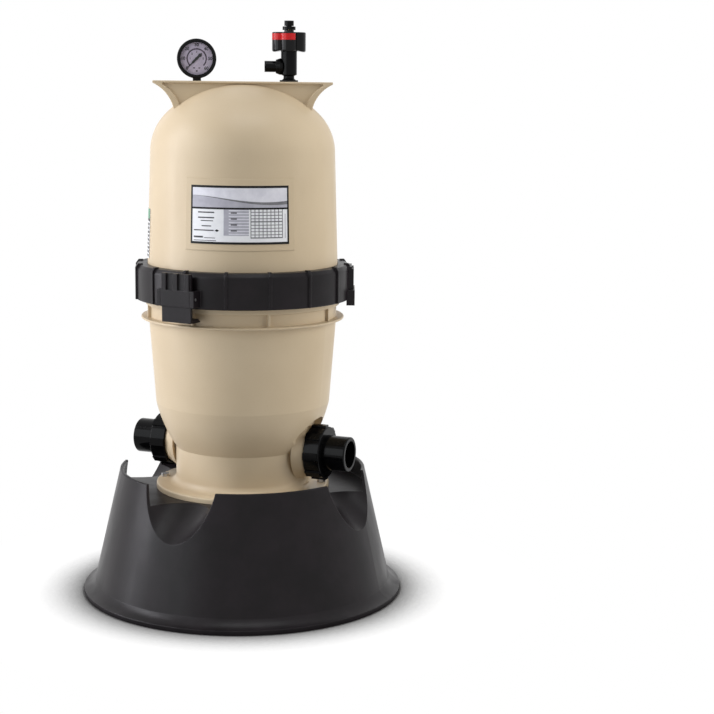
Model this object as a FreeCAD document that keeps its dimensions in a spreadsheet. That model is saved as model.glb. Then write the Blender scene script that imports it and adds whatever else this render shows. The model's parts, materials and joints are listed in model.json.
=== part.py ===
import FreeCAD, Part
import math
import os
import Sketcher
from FreeCAD import Placement, Rotation, Vector

# Cartridge filter for a small pool, standing on its moulded pedestal.
# Origin at the centre of the pedestal's base, +Z up, the two ports along X.
# The lid, with its gauge and relief valve, is turned about Z by lid_turn.

doc = FreeCAD.newDocument("cartridge_filter")
sheet = doc.addObject("Spreadsheet::Sheet", "Sizes")

# name, value in millimetres or degrees, meaning
driving = [
    ("running_gap", 0.3, "between curved faces that move past each other"),
    ("seat_gap", 0.2, "between flat faces of pieces that come apart"),
    ("slip_gap", 0.05, "play of a pin, plug or spigot in its hole"),
    ("bite", 1, "how far a cutter or a joined piece runs past its neighbour"),
    ("edge_round", 2, "round on the moulded edges"),
    ("flange_round", 1.5, "tank, round on the thin flanges"),
    ("foot_round", 3, "tank, round on the foot flange"),
    ("base_radius", 287, "pedestal, outer edge of the foot flange"),
    ("base_edge", 8, "pedestal, height of the flange's edge"),
    ("base_flange", 20, "pedestal, width of the flange outside the cone"),
    ("base_flange_rise", 14, "pedestal, rise of the flange from edge to cone"),
    ("pedestal_rim_radius", 220, "pedestal, outer radius at the top"),
    ("pedestal_height", 225, "pedestal, floor to rim"),
    ("pedestal_wall", 6, "pedestal, wall"),
    ("deck_recess", 36, "pedestal, rim down to the deck"),
    ("deck_hole_radius", 45, "pedestal, drain hole in the deck"),
    ("pocket_radius", 70, "pedestal, radius of a scooped pocket"),
    ("pocket_slope", 34, "pedestal, fall of a pocket's floor"),
    ("pocket_margin", 5, "pedestal, deck left between tank foot and pocket"),
    ("pocket_count", 4, "pedestal, number of pockets"),
    ("pocket_turn", -5.5, "pedestal, direction of the first pocket"),
    ("foot_radius", 155.6, "tank, foot flange"),
    ("foot_thickness", 10, "tank, foot flange"),
    ("foot_fillet", 13, "tank, fillet from foot flange to neck"),
    ("foot_ledge", 35.6, "tank, foot flange outside the neck"),
    ("skirt_wall", 8, "tank, wall of neck and skirt"),
    ("skirt_depth", 25, "tank, deck up to the floor's underside"),
    ("floor_thickness", 8, "tank, floor"),
    ("neck_height", 76, "tank, deck up to the crease under the bowl"),
    ("bowl_height", 81, "tank, crease up to the barrel"),
    ("bowl_curve", 240, "tank, radius of the bowl's side in section"),
    ("barrel_radius", 166.5, "tank, outside at the stop flange"),
    ("barrel_taper", 11.5, "tank, narrowing from the stop flange to the bowl"),
    ("barrel_height", 151, "tank, bowl up to the stop flange"),
    ("tank_wall", 7, "tank, wall of bowl and barrel"),
    ("stop_proud", 5.5, "tank, stops and collar flange outside the barrel"),
    ("stop_flange", 4, "tank, thickness of the stop flange"),
    ("stop_flange_proud", 13.5, "tank, stop flange outside the barrel"),
    ("stop_height", 21, "tank, height of the stops between the flanges"),
    ("stop_width", 4, "tank, thickness of a stop"),
    ("stop_count", 8, "tank, number of stops"),
    ("stop_turn", -5, "tank, direction of the first stop"),
    ("collar_flange", 8, "tank, thickness of the collar flange"),
    ("collar_step", 6, "tank, collar flange up to the thread's root"),
    ("mouth_height", 44, "tank, threaded mouth"),
    ("mouth_wall", 12, "tank, wall of the threaded mouth"),
    ("thread_step", 11.5, "tank thread, root outside the barrel"),
    ("thread_depth", 5, "ring and tank thread, radial height"),
    ("thread_pitch", 8, "ring and tank thread, ridge to ridge"),
    ("thread_starts", 3, "ring and tank thread, number of starts"),
    ("thread_top_width", 2.2, "ring and tank thread, crest"),
    ("thread_side", 0.7, "ring and tank thread, widening of a flank"),
    ("thread_gap", 1, "ring and tank thread, crest to root"),
    ("thread_rise", 9, "tank thread, start above the thread's foot"),
    ("body_seal_radius", 3.2, "O-ring between tank and lid, section"),
    ("ring_wall", 6, "locking ring, wall outside the thread"),
    ("ring_height", 61.5, "locking ring, overall height"),
    ("ring_lip", 5.5, "locking ring, thickness of the lip over the lid"),
    ("ring_chamfer", 7, "locking ring, height of the sloped shoulder"),
    ("ring_shoulder", 5, "locking ring, width of the sloped shoulder"),
    ("ring_rib_proud", 2.8, "locking ring, ribs outside the wall"),
    ("ring_rib_width", 5, "locking ring, width of a rib"),
    ("ring_rib_rise", 2.5, "locking ring, ribs above the lip"),
    ("ring_rib_count", 16, "locking ring, number of ribs"),
    ("ring_rib_turn", -6.1, "locking ring, direction of the first rib"),
    ("latch_turn", -98.5, "locking ring, direction of the latch"),
    ("grip_spacing", 120, "locking ring, angle from grip to grip"),
    ("grip_width", 56, "locking ring, ribbed grip"),
    ("grip_block_width", 76, "locking ring, block under a grip"),
    ("grip_block_height", 27, "locking ring, block under a grip"),
    ("grip_block_drop", 9, "locking ring, block below the ring's edge"),
    ("grip_proud", 9, "locking ring, block outside the wall"),
    ("grip_top_gap", 3, "locking ring, grip below the lip's top"),
    ("fin_count", 3, "locking ring and latch, finger fins"),
    ("fin_width", 9, "locking ring and latch, thickness of a fin"),
    ("fin_proud", 3.5, "locking ring and latch, fins outside the pad"),
    ("ear_width", 8, "latch ears on the ring, thickness"),
    ("ear_height", 28, "latch ears on the ring, height"),
    ("latch_reach", 10, "latch pin outside the ring's wall"),
    ("latch_pin_radius", 2.5, "latch pin"),
    ("latch_pin_height", 18, "latch pin above the ring's lower edge"),
    ("latch_barrel", 6, "latch, radius of the barrel round the pin"),
    ("latch_plate", 4.5, "latch, thickness of the lever"),
    ("latch_rise", 42, "latch, lever above the pin"),
    ("latch_drop", 41, "latch, lever below the pin"),
    ("hook_height", 6.5, "latch, height of the hook"),
    ("hook_gap", 2, "latch, hook off the tank's stops"),
    ("latch_spring_radius", 3.4, "latch spring, coil"),
    ("latch_spring_wire", 0.4, "latch spring, wire radius"),
    ("latch_spring_rise", 27, "latch spring above the pin"),
    ("lid_turn", 25, "lid, direction of the saddle"),
    ("lid_step", 1.8, "lid, wall above its flange, outside the barrel"),
    ("lid_taper", 6.3, "lid, narrowing from flange to dome"),
    ("lid_flange", 8, "lid, thickness of the flange"),
    ("cap_in_dome", 62, "lid, cartridge's top above the dome's foot"),
    ("lid_wall", 6, "lid, wall"),
    ("dome_rise", 122.3, "lid, height of the dome"),
    ("dome_knuckle", 95, "lid, radius of the dome's shoulder"),
    ("saddle_length", 310, "lid, saddle from tip to tip"),
    ("saddle_depth", 92, "lid, saddle from front to back"),
    ("saddle_plate", 4, "lid, thickness of the saddle's plate"),
    ("saddle_rise", 0.5, "lid, plate's top above the dome"),
    ("saddle_web", 82, "lid, thickness of the web under the plate"),
    ("saddle_drop", 45, "lid, plate down to the foot of an end"),
    ("saddle_inset", 36, "lid, sweep of an end from tip to foot"),
    ("saddle_end", 12, "lid, thickness of an end"),
    ("saddle_curve", 62, "lid, radius of an end's sweep"),
    ("fitting_offset", 80, "lid, gauge and valve from the axis"),
    ("fitting_boss_radius", 15, "lid, bosses under gauge and valve"),
    ("fitting_thread_radius", 6.6, "gauge and valve, threaded stem"),
    ("fitting_thread_length", 12, "gauge and valve, stem inside the boss"),
    ("label_height", 98, "front label, height"),
    ("label_angle", 59, "front label, width as an angle"),
    ("label_turn", -2, "front label, off the lid's front"),
    ("label_shift", -0.8, "front label, off the middle between ring and dome"),
    ("label_thickness", 0.6, "labels"),
    ("pad_margin", 11, "label pad beyond the label, top and bottom"),
    ("pad_angle", 67, "label pad, width as an angle"),
    ("pad_proud", 0.9, "label pad, outside the lid"),
    ("side_label_height", 86, "side label, height"),
    ("side_label_angle", 22, "side label, width as an angle"),
    ("side_label_turn", -87, "side label, off the lid's front"),
    ("side_label_rise", 10.5, "side label, above the locking ring"),
    ("port_rise", 74, "ports, axis above the deck"),
    ("port_boss_radius", 43, "ports, boss at the nut"),
    ("port_boss_flare", 9, "ports, widening of the boss to the tank"),
    ("port_boss_reach", 134, "ports, tank axis to the thread"),
    ("port_thread_length", 20, "ports, thread under the nut"),
    ("port_thread_radius", 42, "ports, thread under the nut"),
    ("port_bore_radius", 20, "ports, water way"),
    ("nut_radius", 46, "union nut, outside between its grips"),
    ("nut_length", 30, "union nut"),
    ("nut_lip", 8, "union nut, lip over the tailpiece"),
    ("nut_offset", 2, "union nut, off the boss"),
    ("nut_grip_proud", 3, "union nut, grips"),
    ("nut_grip_width", 13, "union nut, width of a grip"),
    ("nut_grip_count", 8, "union nut, number of grips"),
    ("nut_room", 13, "tank, recess in the bowl around a union nut"),
    ("nut_recess", 12, "tank, recess behind the face of a port's boss"),
    ("tail_radius", 31, "tailpiece, outside of the socket"),
    ("tail_length", 54, "tailpiece, face to mouth"),
    ("tail_flange_radius", 40.5, "tailpiece, flange inside the nut"),
    ("tail_flange", 4, "tailpiece, thickness of the flange"),
    ("socket_radius", 24.2, "tailpiece, bore for 1.5 inch pipe"),
    ("socket_depth", 35, "tailpiece, depth of the pipe bore"),
    ("union_seal_radius", 1.8, "union O-ring, section"),
    ("union_seal_seat", 31, "union O-ring, radius of its middle"),
    ("drain_rise", 47, "drain, axis above the deck"),
    ("drain_bore_radius", 10.5, "drain, threaded bore"),
    ("drain_boss_radius", 17, "drain, boss"),
    ("drain_reach", 138, "drain, tank axis to the boss's face"),
    ("drain_plug_length", 22, "drain plug, shank"),
    ("drain_head", 12, "drain plug, head"),
    ("drain_grip_proud", 3, "drain plug, grips outside the head"),
    ("drain_grip_width", 6, "drain plug, width of a grip"),
    ("drain_grip_count", 6, "drain plug, number of grips"),
    ("drain_seal_radius", 1.4, "drain O-ring, section"),
    ("screw_inset", 12.4, "foot screws, inside the tank foot's edge"),
    ("screw_turn", 15, "foot screws, direction of the first"),
    ("screw_count", 4, "foot screws"),
    ("screw_radius", 4, "foot screws, shank"),
    ("screw_length", 34, "foot screws, shank under the head"),
    ("screw_head_radius", 7.5, "foot screws, head across corners"),
    ("screw_head", 5.5, "foot screws, head"),
    ("screw_boss_wall", 4, "pedestal, wall of a screw boss"),
    ("cartridge_radius", 113.5, "cartridge, end caps"),
    ("cartridge_length", 552, "cartridge, cap to cap"),
    ("cap_thickness", 12, "cartridge, end cap"),
    ("cap_rim", 2.5, "cartridge, cap outside the pleats"),
    ("pleat_depth", 62, "cartridge, radial depth of a pleat"),
    ("pleat_count", 48, "cartridge, number of pleats"),
    ("pleat_thickness", 1, "cartridge, filter sheet"),
    ("pleat_tip", 6, "cartridge, width of a pleat at its tip"),
    ("core_radius", 42, "cartridge, outside of the core tube"),
    ("core_wall", 3, "cartridge, core tube"),
    ("core_slot_width", 12, "cartridge, slots in the core tube"),
    ("core_slot_height", 34, "cartridge, slots in the core tube"),
    ("core_slot_rows", 9, "cartridge, rows of slots"),
    ("band_height", 10, "cartridge, bands round the pleats"),
    ("band_thickness", 1.2, "cartridge, bands round the pleats"),
    ("band_count", 2, "cartridge, number of bands"),
    ("manifold_radius", 22, "outlet manifold, pipe to the port"),
    ("manifold_wall", 4, "outlet manifold, wall"),
    ("manifold_reach", 126, "outlet manifold, axis to its end in the port"),
    ("spigot_radius", 25, "outlet manifold, spigot into the cartridge"),
    ("spigot_height", 22, "outlet manifold, spigot above the seat"),
    ("seat_rise", 35, "outlet manifold, port axis up to the seat"),
    ("seat_radius", 45, "outlet manifold, seat under the cartridge"),
    ("seat_thickness", 6, "outlet manifold, seat under the cartridge"),
    ("small_seal_radius", 1.3, "manifold and cartridge O-rings, section"),
    ("bleed_radius", 5, "air bleed tube, outside"),
    ("bleed_wall", 1.2, "air bleed tube, wall"),
    ("bleed_above_cap", 20, "air bleed tube above the cartridge"),
    ("screen_radius", 9, "air bleed screen, outside"),
    ("screen_height", 18, "air bleed screen"),
    ("diffuser_length", 42, "inlet diffuser"),
    ("diffuser_window", 16, "inlet diffuser, length of a window"),
    ("gauge_radius", 34, "gauge, outside of the bezel"),
    ("gauge_rise", 38, "gauge, centre above the saddle"),
    ("gauge_depth", 24, "gauge, case behind the dial"),
    ("gauge_wall", 1.8, "gauge, wall of the case"),
    ("bezel_wall", 2, "gauge, wall of the bezel"),
    ("bezel_face", 6.2, "gauge, width of the bezel's face"),
    ("bezel_lip", 2, "gauge, thickness of the bezel's face"),
    ("lens_thickness", 2, "gauge, lens"),
    ("dial_thickness", 0.8, "gauge, dial"),
    ("dial_depth", 2.4, "gauge, dial behind the lens"),
    ("pointer_length", 21, "gauge, pointer"),
    ("pointer_shaft", 1.2, "gauge, radius of the pointer's shaft"),
    ("pointer_zero", 225, "gauge, pointer's direction at no pressure"),
    ("stem_width", 14, "gauge, flats of the stem"),
    ("bourdon_radius", 19, "gauge, bourdon tube's bend"),
    ("bourdon_tube", 2.2, "gauge, bourdon tube's section"),
    ("movement_width", 22, "gauge, movement"),
    ("movement_depth", 5, "gauge, movement"),
    ("valve_washer_radius", 16, "relief valve, gasket under the valve"),
    ("valve_washer", 3, "relief valve, gasket under the valve"),
    ("valve_neck_radius", 9.5, "relief valve, neck"),
    ("valve_neck", 7.2, "relief valve, neck"),
    ("valve_neck_flare", 3, "relief valve, widening of the neck to its gasket"),
    ("valve_barrel_radius", 14, "relief valve, barrel"),
    ("valve_barrel", 46, "relief valve, barrel"),
    ("valve_chamber_radius", 10, "relief valve, chamber"),
    ("valve_cover", 5, "relief valve, barrel over the chamber"),
    ("valve_seat_rise", 9, "relief valve, barrel's foot up to the seat"),
    ("valve_inlet_radius", 4, "relief valve, inlet"),
    ("outlet_rise", 16, "relief valve, barrel's foot up to the outlet"),
    ("outlet_reach", 42.5, "relief valve, axis to the outlet's mouth"),
    ("outlet_radius", 9.6, "relief valve, outlet"),
    ("outlet_bore_radius", 6, "relief valve, outlet"),
    ("outlet_collar_radius", 14.5, "relief valve, collar of the outlet"),
    ("outlet_collar", 9, "relief valve, length of the collar"),
    ("knob_radius", 28.5, "relief valve, knob between its lobes"),
    ("knob_lobe", 2.6, "relief valve, knob's lobes"),
    ("knob_lobe_count", 10, "relief valve, number of lobes"),
    ("knob_lobe_width", 8, "relief valve, width of a lobe"),
    ("knob_lobe_drop", 1.5, "relief valve, lobes below the knob"),
    ("knob_height", 34, "relief valve, knob"),
    ("knob_skirt", 3.5, "relief valve, skirt below the barrel's top"),
    ("knob_boss_radius", 8.5, "relief valve, boss on the knob"),
    ("knob_boss", 2, "relief valve, boss on the knob"),
    ("band_drop", 4, "relief valve, knob's top down to the band"),
    ("knob_band", 11, "relief valve, height of the coloured band"),
    ("band_angle", 150, "relief valve, the coloured band's length"),
    ("band_turn", -145, "relief valve, direction of the coloured band's middle"),
    ("band_proud", 0.5, "relief valve, coloured band"),
    ("plunger_rod", 3, "relief valve, radius of the rod"),
    ("plunger_disc", 4, "relief valve, disc on the seat"),
    ("plunger_lift", 4, "relief valve, how far the disc opens"),
    ("valve_spring_radius", 7, "relief valve spring, coil"),
    ("valve_spring_wire", 0.7, "relief valve spring, wire radius"),
    ("top_washer_radius", 11.4, "relief valve, washer on the knob"),
    ("top_washer", 6, "relief valve, washer on the knob"),
    ("top_nut_radius", 8.3, "relief valve, nut at the top"),
    ("top_nut", 9, "relief valve, nut at the top"),
    ("top_nut_neck", 1, "relief valve, neck under the nut"),
]


class Size:
    """A number together with the spreadsheet expression that gives it."""

    def __init__(self, number, text=None):
        self.number = float(number)
        self.text = text or repr(float(number))

    def __add__(self, other):
        other = asSize(other)
        return Size(self.number + other.number, f"({self.text} + {other.text})")

    def __sub__(self, other):
        other = asSize(other)
        return Size(self.number - other.number, f"({self.text} - {other.text})")

    def __mul__(self, other):
        other = asSize(other)
        return Size(self.number * other.number, f"({self.text} * {other.text})")

    def __truediv__(self, other):
        other = asSize(other)
        return Size(self.number / other.number, f"({self.text} / {other.text})")

    def __neg__(self):
        return Size(-self.number, f"(-1 * {self.text})")


def asSize(value):
    return value if isinstance(value, Size) else Size(value)


class Sizes:
    """Every cell of the spreadsheet as a Size."""


s = Sizes()
for row, (name, value, meaning) in enumerate(driving, start=1):
    sheet.set(f"A{row}", name)
    sheet.set(f"B{row}", str(value))
    sheet.set(f"C{row}", meaning)
    sheet.setAlias(f"B{row}", name)
    setattr(s, name, Size(value, f"Sizes.{name}"))
doc.recompute()

XAXIS = Vector(1, 0, 0)
YAXIS = Vector(0, 1, 0)
ZAXIS = Vector(0, 0, 1)
HOME = Placement()
parts = []


# ---------------------------------------------------------------- helpers

def at(x=0, y=0, z=0, axis=ZAXIS, angle=0):
    """A placement from sizes: a turn about an axis, then a shift."""
    shift = Vector(asSize(x).number, asSize(y).number, asSize(z).number)
    return Placement(shift, Rotation(axis, asSize(angle).number))


def turn(angle):
    return at(angle=angle)


def keep(label, thing, placement=HOME):
    """Name a finished sub-part, place it and put it on the list to export."""
    thing.Label = label
    thing.Placement = placement.multiply(thing.Placement)
    parts.append(thing)
    return thing


def bind(thing, **values):
    for name, value in values.items():
        thing.setExpression(name, asSize(value).text)


def cylinder(radius, height, placement=HOME):
    thing = doc.addObject("Part::Cylinder", "Cylinder")
    bind(thing, Radius=radius, Height=height)
    thing.Placement = placement
    return thing


def box(length, width, height, placement=HOME):
    thing = doc.addObject("Part::Box", "Box")
    bind(thing, Length=length, Width=width, Height=height)
    thing.Placement = placement
    return thing


def torus(major, minor, placement=HOME, sweep=360):
    thing = doc.addObject("Part::Torus", "Torus")
    bind(thing, Radius1=major, Radius2=minor, Angle3=sweep)
    thing.Placement = placement
    return thing


def fuse(*things):
    joined = doc.addObject("Part::MultiFuse", "Fuse")
    joined.Shapes = list(things)
    joined.Refine = False
    return joined


def cut(base, *tools):
    result = doc.addObject("Part::Cut", "Cut")
    result.Base = base
    result.Tool = tools[0] if len(tools) == 1 else fuse(*tools)
    return result


def newBody(name):
    return doc.addObject("PartDesign::Body", name)


def newSketch(body, name, role="XZ_Plane"):
    plane = [item for item in body.Origin.OriginFeatures if item.Role == role][0]
    sketch = body.newObject("Sketcher::SketchObject", name)
    sketch.AttachmentSupport = [(plane, "")]
    sketch.MapMode = "FlatFace"
    return sketch


def arcBetween(start, end, radius):
    """The short arc from start to end; a positive radius has its centre on the left."""
    chord = end - start
    half = chord.Length / 2
    left = Vector(-chord.y, chord.x, 0).normalize()
    side = math.copysign(1, radius)
    sag = abs(radius) - math.sqrt(radius * radius - half * half)
    return Part.Arc(start, start + chord * 0.5 - left * (side * sag), end)


def fixCorner(sketch, edge, end, across, up):
    """Hold one end of an edge at its place, measured from the sketch's origin."""
    for kind, value, axis in (("DistanceX", across, -2), ("DistanceY", up, -1)):
        if abs(value.number) < 1e-9:
            sketch.addConstraint(Sketcher.Constraint("PointOnObject", edge, end, axis))
            continue
        index = sketch.addConstraint(
            Sketcher.Constraint(kind, -1, 1, edge, end, value.number))
        sketch.setExpression(f"Constraints[{index}]", value.text)


def outline(sketch, corners, arcs=None):
    """A closed outline; arcs gives the signed radius of the edge after a corner."""
    arcs = arcs or {}
    corners = [(asSize(across), asSize(up)) for across, up in corners]
    spots = [Vector(across.number, up.number, 0) for across, up in corners]
    ends = []
    for index, start in enumerate(spots):
        end = spots[(index + 1) % len(spots)]
        if index in arcs:
            radius = asSize(arcs[index])
            edge = sketch.addGeometry(arcBetween(start, end, radius.number), False)
            forward = (sketch.getPoint(edge, 1) - start).Length < 1e-6
            ends.append((edge, 1, 2) if forward else (edge, 2, 1))
            size = radius if radius.number > 0 else -radius
            held = sketch.addConstraint(Sketcher.Constraint("Radius", edge, size.number))
            sketch.setExpression(f"Constraints[{held}]", size.text)
        else:
            edge = sketch.addGeometry(Part.LineSegment(start, end), False)
            ends.append((edge, 1, 2))
    for index, (edge, first, _) in enumerate(ends):
        before, _, last = ends[index - 1]
        sketch.addConstraint(Sketcher.Constraint("Coincident", before, last, edge, first))
        fixCorner(sketch, edge, first, *corners[index])


def rounded(corners, rounds, arcs=None):
    """Corners and arcs of an outline after rounds take the place of some corners."""
    spots = [(asSize(across), asSize(up)) for across, up in corners]
    points = [Vector(across.number, up.number, 0) for across, up in spots]
    fresh = []
    bends = {}
    for index, (across, up) in enumerate(spots):
        if rounds and index in rounds:
            into = (points[index] - points[index - 1]).normalize()
            out = (points[(index + 1) % len(points)] - points[index]).normalize()
            radius = asSize(rounds[index])
            back = radius * math.tan(into.getAngle(out) / 2)
            fresh.append((across - back * into.x, up - back * into.y))
            bends[len(fresh) - 1] = radius if into.cross(out).z > 0 else -radius
            fresh.append((across + back * out.x, up + back * out.y))
        else:
            fresh.append((across, up))
        if arcs and index in arcs:
            bends[len(fresh) - 1] = arcs[index]
    return fresh, bends


def revolve(body, corners, arcs=None, sweep=None, rounds=None):
    """Turn a closed outline of (radius, height) corners about the body's Z axis."""
    sketch = newSketch(body, "Section")
    outline(sketch, *rounded(corners, rounds, arcs))
    feature = body.newObject("PartDesign::Revolution", "Turned")
    feature.Profile = sketch
    feature.ReferenceAxis = (sketch, ["V_Axis"])
    feature.Angle = 360
    if sweep is not None:
        feature.Midplane = True
        feature.setExpression("Angle", asSize(sweep).text)
    sketch.Visibility = False
    return feature


def turned(name, corners, arcs=None, sweep=None, rounds=None):
    body = newBody(name)
    revolve(body, corners, arcs, sweep, rounds)
    return body


def padMiddle(body, corners, width, arcs=None, rounds=None):
    """Pad an outline to both sides of the XZ plane."""
    sketch = newSketch(body, "Outline")
    outline(sketch, *rounded(corners, rounds, arcs))
    feature = body.newObject("PartDesign::Pad", "Pad")
    feature.Profile = sketch
    feature.Midplane = True
    feature.setExpression("Length", asSize(width).text)
    sketch.Visibility = False
    return feature


def around(body, feature, count):
    """Repeat a feature evenly about the body's Z axis."""
    pattern = body.newObject("PartDesign::PolarPattern", "Around")
    pattern.Originals = [feature]
    pattern.Axis = (feature.Profile[0], ["V_Axis"])
    pattern.Angle = 360
    bind(pattern, Occurrences=count)
    body.Tip = pattern
    return pattern


def threadRidge(body, root, crest, start, lead):
    """One helical ridge between two radii, its middle starting at a height."""
    sketch = newSketch(body, "Ridge")
    half_top = s.thread_top_width / 2
    half_root = half_top + s.thread_side
    outline(sketch, [
        (root, start - half_root),
        (crest, start - half_top),
        (crest, start + half_top),
        (root, start + half_root),
    ])
    ridge = body.newObject("PartDesign::AdditiveHelix", "Thread")
    ridge.Profile = sketch
    ridge.ReferenceAxis = (sketch, ["V_Axis"])
    ridge.Mode = 0
    bind(ridge, Pitch=lead, Height=lead)
    return around(body, ridge, s.thread_starts)


def rectangle(left, bottom, right, top):
    return [(left, bottom), (right, bottom), (right, top), (left, top)]


def coil(radius, wire, length, turns):
    """A spring of faceted wire standing on Z = 0, which no primitive makes."""
    rise = length - wire * 2
    path = Part.makeLongHelix(rise / turns, rise, radius)
    flats = 8
    angles = [2 * math.pi * (index + 0.5) / flats for index in range(flats)]
    corners = [
        Vector(radius + wire * math.cos(angle), 0, wire * math.sin(angle)) for angle in angles
    ]
    section = Part.makePolygon(corners + corners[:1])
    solid = Part.Wire(path.Edges).makePipeShell([section], True, True)
    solid.translate(Vector(0, 0, wire))
    thing = doc.addObject("Part::Feature", "Coil")
    thing.Shape = solid
    return thing


# ------------------------------------------------- heights and shared radii

deck = s.pedestal_height - s.deck_recess
tank_floor = deck + s.skirt_depth + s.floor_thickness
crease = deck + s.neck_height
bowl_top = crease + s.bowl_height
stop_foot = bowl_top + s.barrel_height
stop_top = stop_foot + s.stop_flange
collar_foot = stop_top + s.stop_height
collar_top = collar_foot + s.collar_flange
mouth_foot = collar_top + s.collar_step
rim = mouth_foot + s.mouth_height

neck_radius = s.foot_radius - s.foot_ledge
screw_circle = s.foot_radius - s.screw_inset
bowl_radius = s.barrel_radius - s.barrel_taper
stop_radius = s.barrel_radius + s.stop_proud
stop_flange_radius = s.barrel_radius + s.stop_flange_proud
thread_root = s.barrel_radius + s.thread_step
lid_foot_radius = s.barrel_radius + s.lid_step
lid_shoulder_radius = lid_foot_radius - s.lid_taper

lid_foot = rim + s.seat_gap
lip_foot = lid_foot + s.lid_flange + s.seat_gap
ring_top = lip_foot + s.ring_lip
ring_foot = ring_top - s.ring_height
ring_bore = thread_root + s.thread_depth + s.thread_gap
ring_radius = ring_bore + s.ring_wall
thread_lead = s.thread_pitch * s.thread_starts

port_height = deck + s.port_rise
port_face = s.port_boss_reach + s.port_thread_length
seat = port_height + s.seat_rise
cartridge_foot = seat + s.seat_gap
cartridge_top = cartridge_foot + s.cartridge_length
pleat_foot = cartridge_foot + s.cap_thickness
pleat_top = cartridge_top - s.cap_thickness

dome_foot = cartridge_top - s.cap_in_dome
apex = dome_foot + s.dome_rise
saddle_top = apex + s.saddle_rise
plate_foot = saddle_top - s.saddle_plate


# ---------------------------------------------------------------- pedestal

def coneRadius(height):
    """Outside of the pedestal's cone at a height."""
    foot_height = s.base_edge + s.base_flange_rise
    foot_radius = s.base_radius - s.base_flange
    share = (height - foot_height) / (s.pedestal_height - foot_height)
    return foot_radius + (s.pedestal_rim_radius - foot_radius) * share


def pocketCutters(extra):
    """Tilted cylinders that scoop the pockets, widened by an extra wall."""
    slope = math.radians(s.pocket_slope.number)
    radius = s.pocket_radius + extra
    reach = s.foot_radius + s.pocket_margin
    half_length = s.base_radius * 1.5
    across = reach.number + s.pocket_radius.number * math.sin(slope)
    up = deck.number + s.pocket_radius.number * math.cos(slope)
    back = half_length.number / 2
    start = at(
        across - back * math.cos(slope), 0, up + back * math.sin(slope),
        YAXIS, s.pocket_slope + 90)
    step = 360 / s.pocket_count.number
    cutters = []
    for index in range(round(s.pocket_count.number)):
        direction = turn(s.pocket_turn + index * step)
        cutters.append(cylinder(radius, half_length, direction.multiply(start)))
    return fuse(*cutters)


def screwSpots(height):
    step = 360 / s.screw_count.number
    return [
        turn(s.screw_turn + index * step).multiply(at(screw_circle, 0, height))
        for index in range(round(s.screw_count.number))
    ]


def makePedestal():
    foot_height = s.base_edge + s.base_flange_rise
    foot_radius = s.base_radius - s.base_flange
    wall = s.pedestal_wall
    solid = turned("PedestalOutside", [
        (0, 0),
        (s.base_radius, 0),
        (s.base_radius, s.base_edge),
        (foot_radius, foot_height),
        (s.pedestal_rim_radius, s.pedestal_height),
        (s.pedestal_rim_radius - wall, s.pedestal_height),
        (coneRadius(deck) - wall, deck),
        (0, deck),
    ], {2: -(s.base_flange + s.base_flange_rise)}, rounds={4: s.edge_round, 5: s.edge_round})
    hollow = turned("PedestalInside", [
        (0, -wall),
        (foot_radius - wall, -wall),
        (foot_radius - wall, foot_height),
        (coneRadius(deck - wall) - wall, deck - wall),
        (0, deck - wall),
    ])
    hollow = cut(hollow, pocketCutters(wall))
    shell = cut(solid, pocketCutters(Size(0)), hollow)
    boss_depth = s.screw_length - s.foot_thickness + wall
    bosses = [
        cylinder(s.screw_radius + s.screw_boss_wall, boss_depth, spot)
        for spot in screwSpots(deck - boss_depth)
    ]
    holes = [
        cylinder(s.screw_radius + s.slip_gap, boss_depth * 2, spot)
        for spot in screwSpots(deck - boss_depth * 1.5)
    ]
    drain = cylinder(s.deck_hole_radius, wall * 3, at(0, 0, deck - wall * 2))
    keep("pedestal", cut(fuse(shell, *bosses), drain, *holes))


def makeFootScrews():
    top = deck + s.foot_thickness
    screws = []
    for spot in screwSpots(top - s.screw_length):
        screws.append(cylinder(s.screw_radius, s.screw_length, spot))
    for spot in screwSpots(top):
        head = doc.addObject("Part::Prism", "Hexagon")
        head.Polygon = 6
        bind(head, Circumradius=s.screw_head_radius, Height=s.screw_head)
        head.Placement = spot
        screws.append(head)
    keep("foot_screws", fuse(*screws))


# ---------------------------------------------------------------- tank

def alongPort(side):
    """Local Z along a port's axis: side 1 is the inlet at +X, -1 the outlet at -X."""
    return at(0, 0, port_height, YAXIS, 90 * side)


def tankOutside():
    neck = neck_radius
    fillet = s.foot_fillet
    body = newBody("TankOutside")
    revolve(body, [
        (0, deck + s.skirt_depth),
        (neck - s.skirt_wall, deck + s.skirt_depth),
        (neck - s.skirt_wall, deck),
        (s.foot_radius, deck),
        (s.foot_radius, deck + s.foot_thickness),
        (neck + fillet, deck + s.foot_thickness),
        (neck, deck + s.foot_thickness + fillet),
        (neck, crease),
        (bowl_radius, bowl_top),
        (s.barrel_radius, stop_foot),
        (stop_flange_radius, stop_foot),
        (stop_flange_radius, stop_top),
        (s.barrel_radius, stop_top),
        (s.barrel_radius, collar_foot),
        (stop_radius, collar_foot),
        (stop_radius, collar_top),
        (thread_root, mouth_foot),
        (thread_root, rim),
        (0, rim),
    ], {5: -fillet, 7: s.bowl_curve}, rounds={
        4: s.foot_round,
        10: s.flange_round,
        11: s.flange_round,
        14: s.flange_round,
    })
    stop = padMiddle(body, rectangle(
        s.barrel_radius - s.tank_wall / 2, stop_top - s.stop_flange / 2,
        stop_radius, collar_foot + s.collar_flange / 2), s.stop_width)
    around(body, stop, s.stop_count)
    crest = thread_root + s.thread_depth
    threadRidge(body, thread_root - s.bite / 2, crest, mouth_foot + s.thread_rise, thread_lead)
    return body


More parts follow.
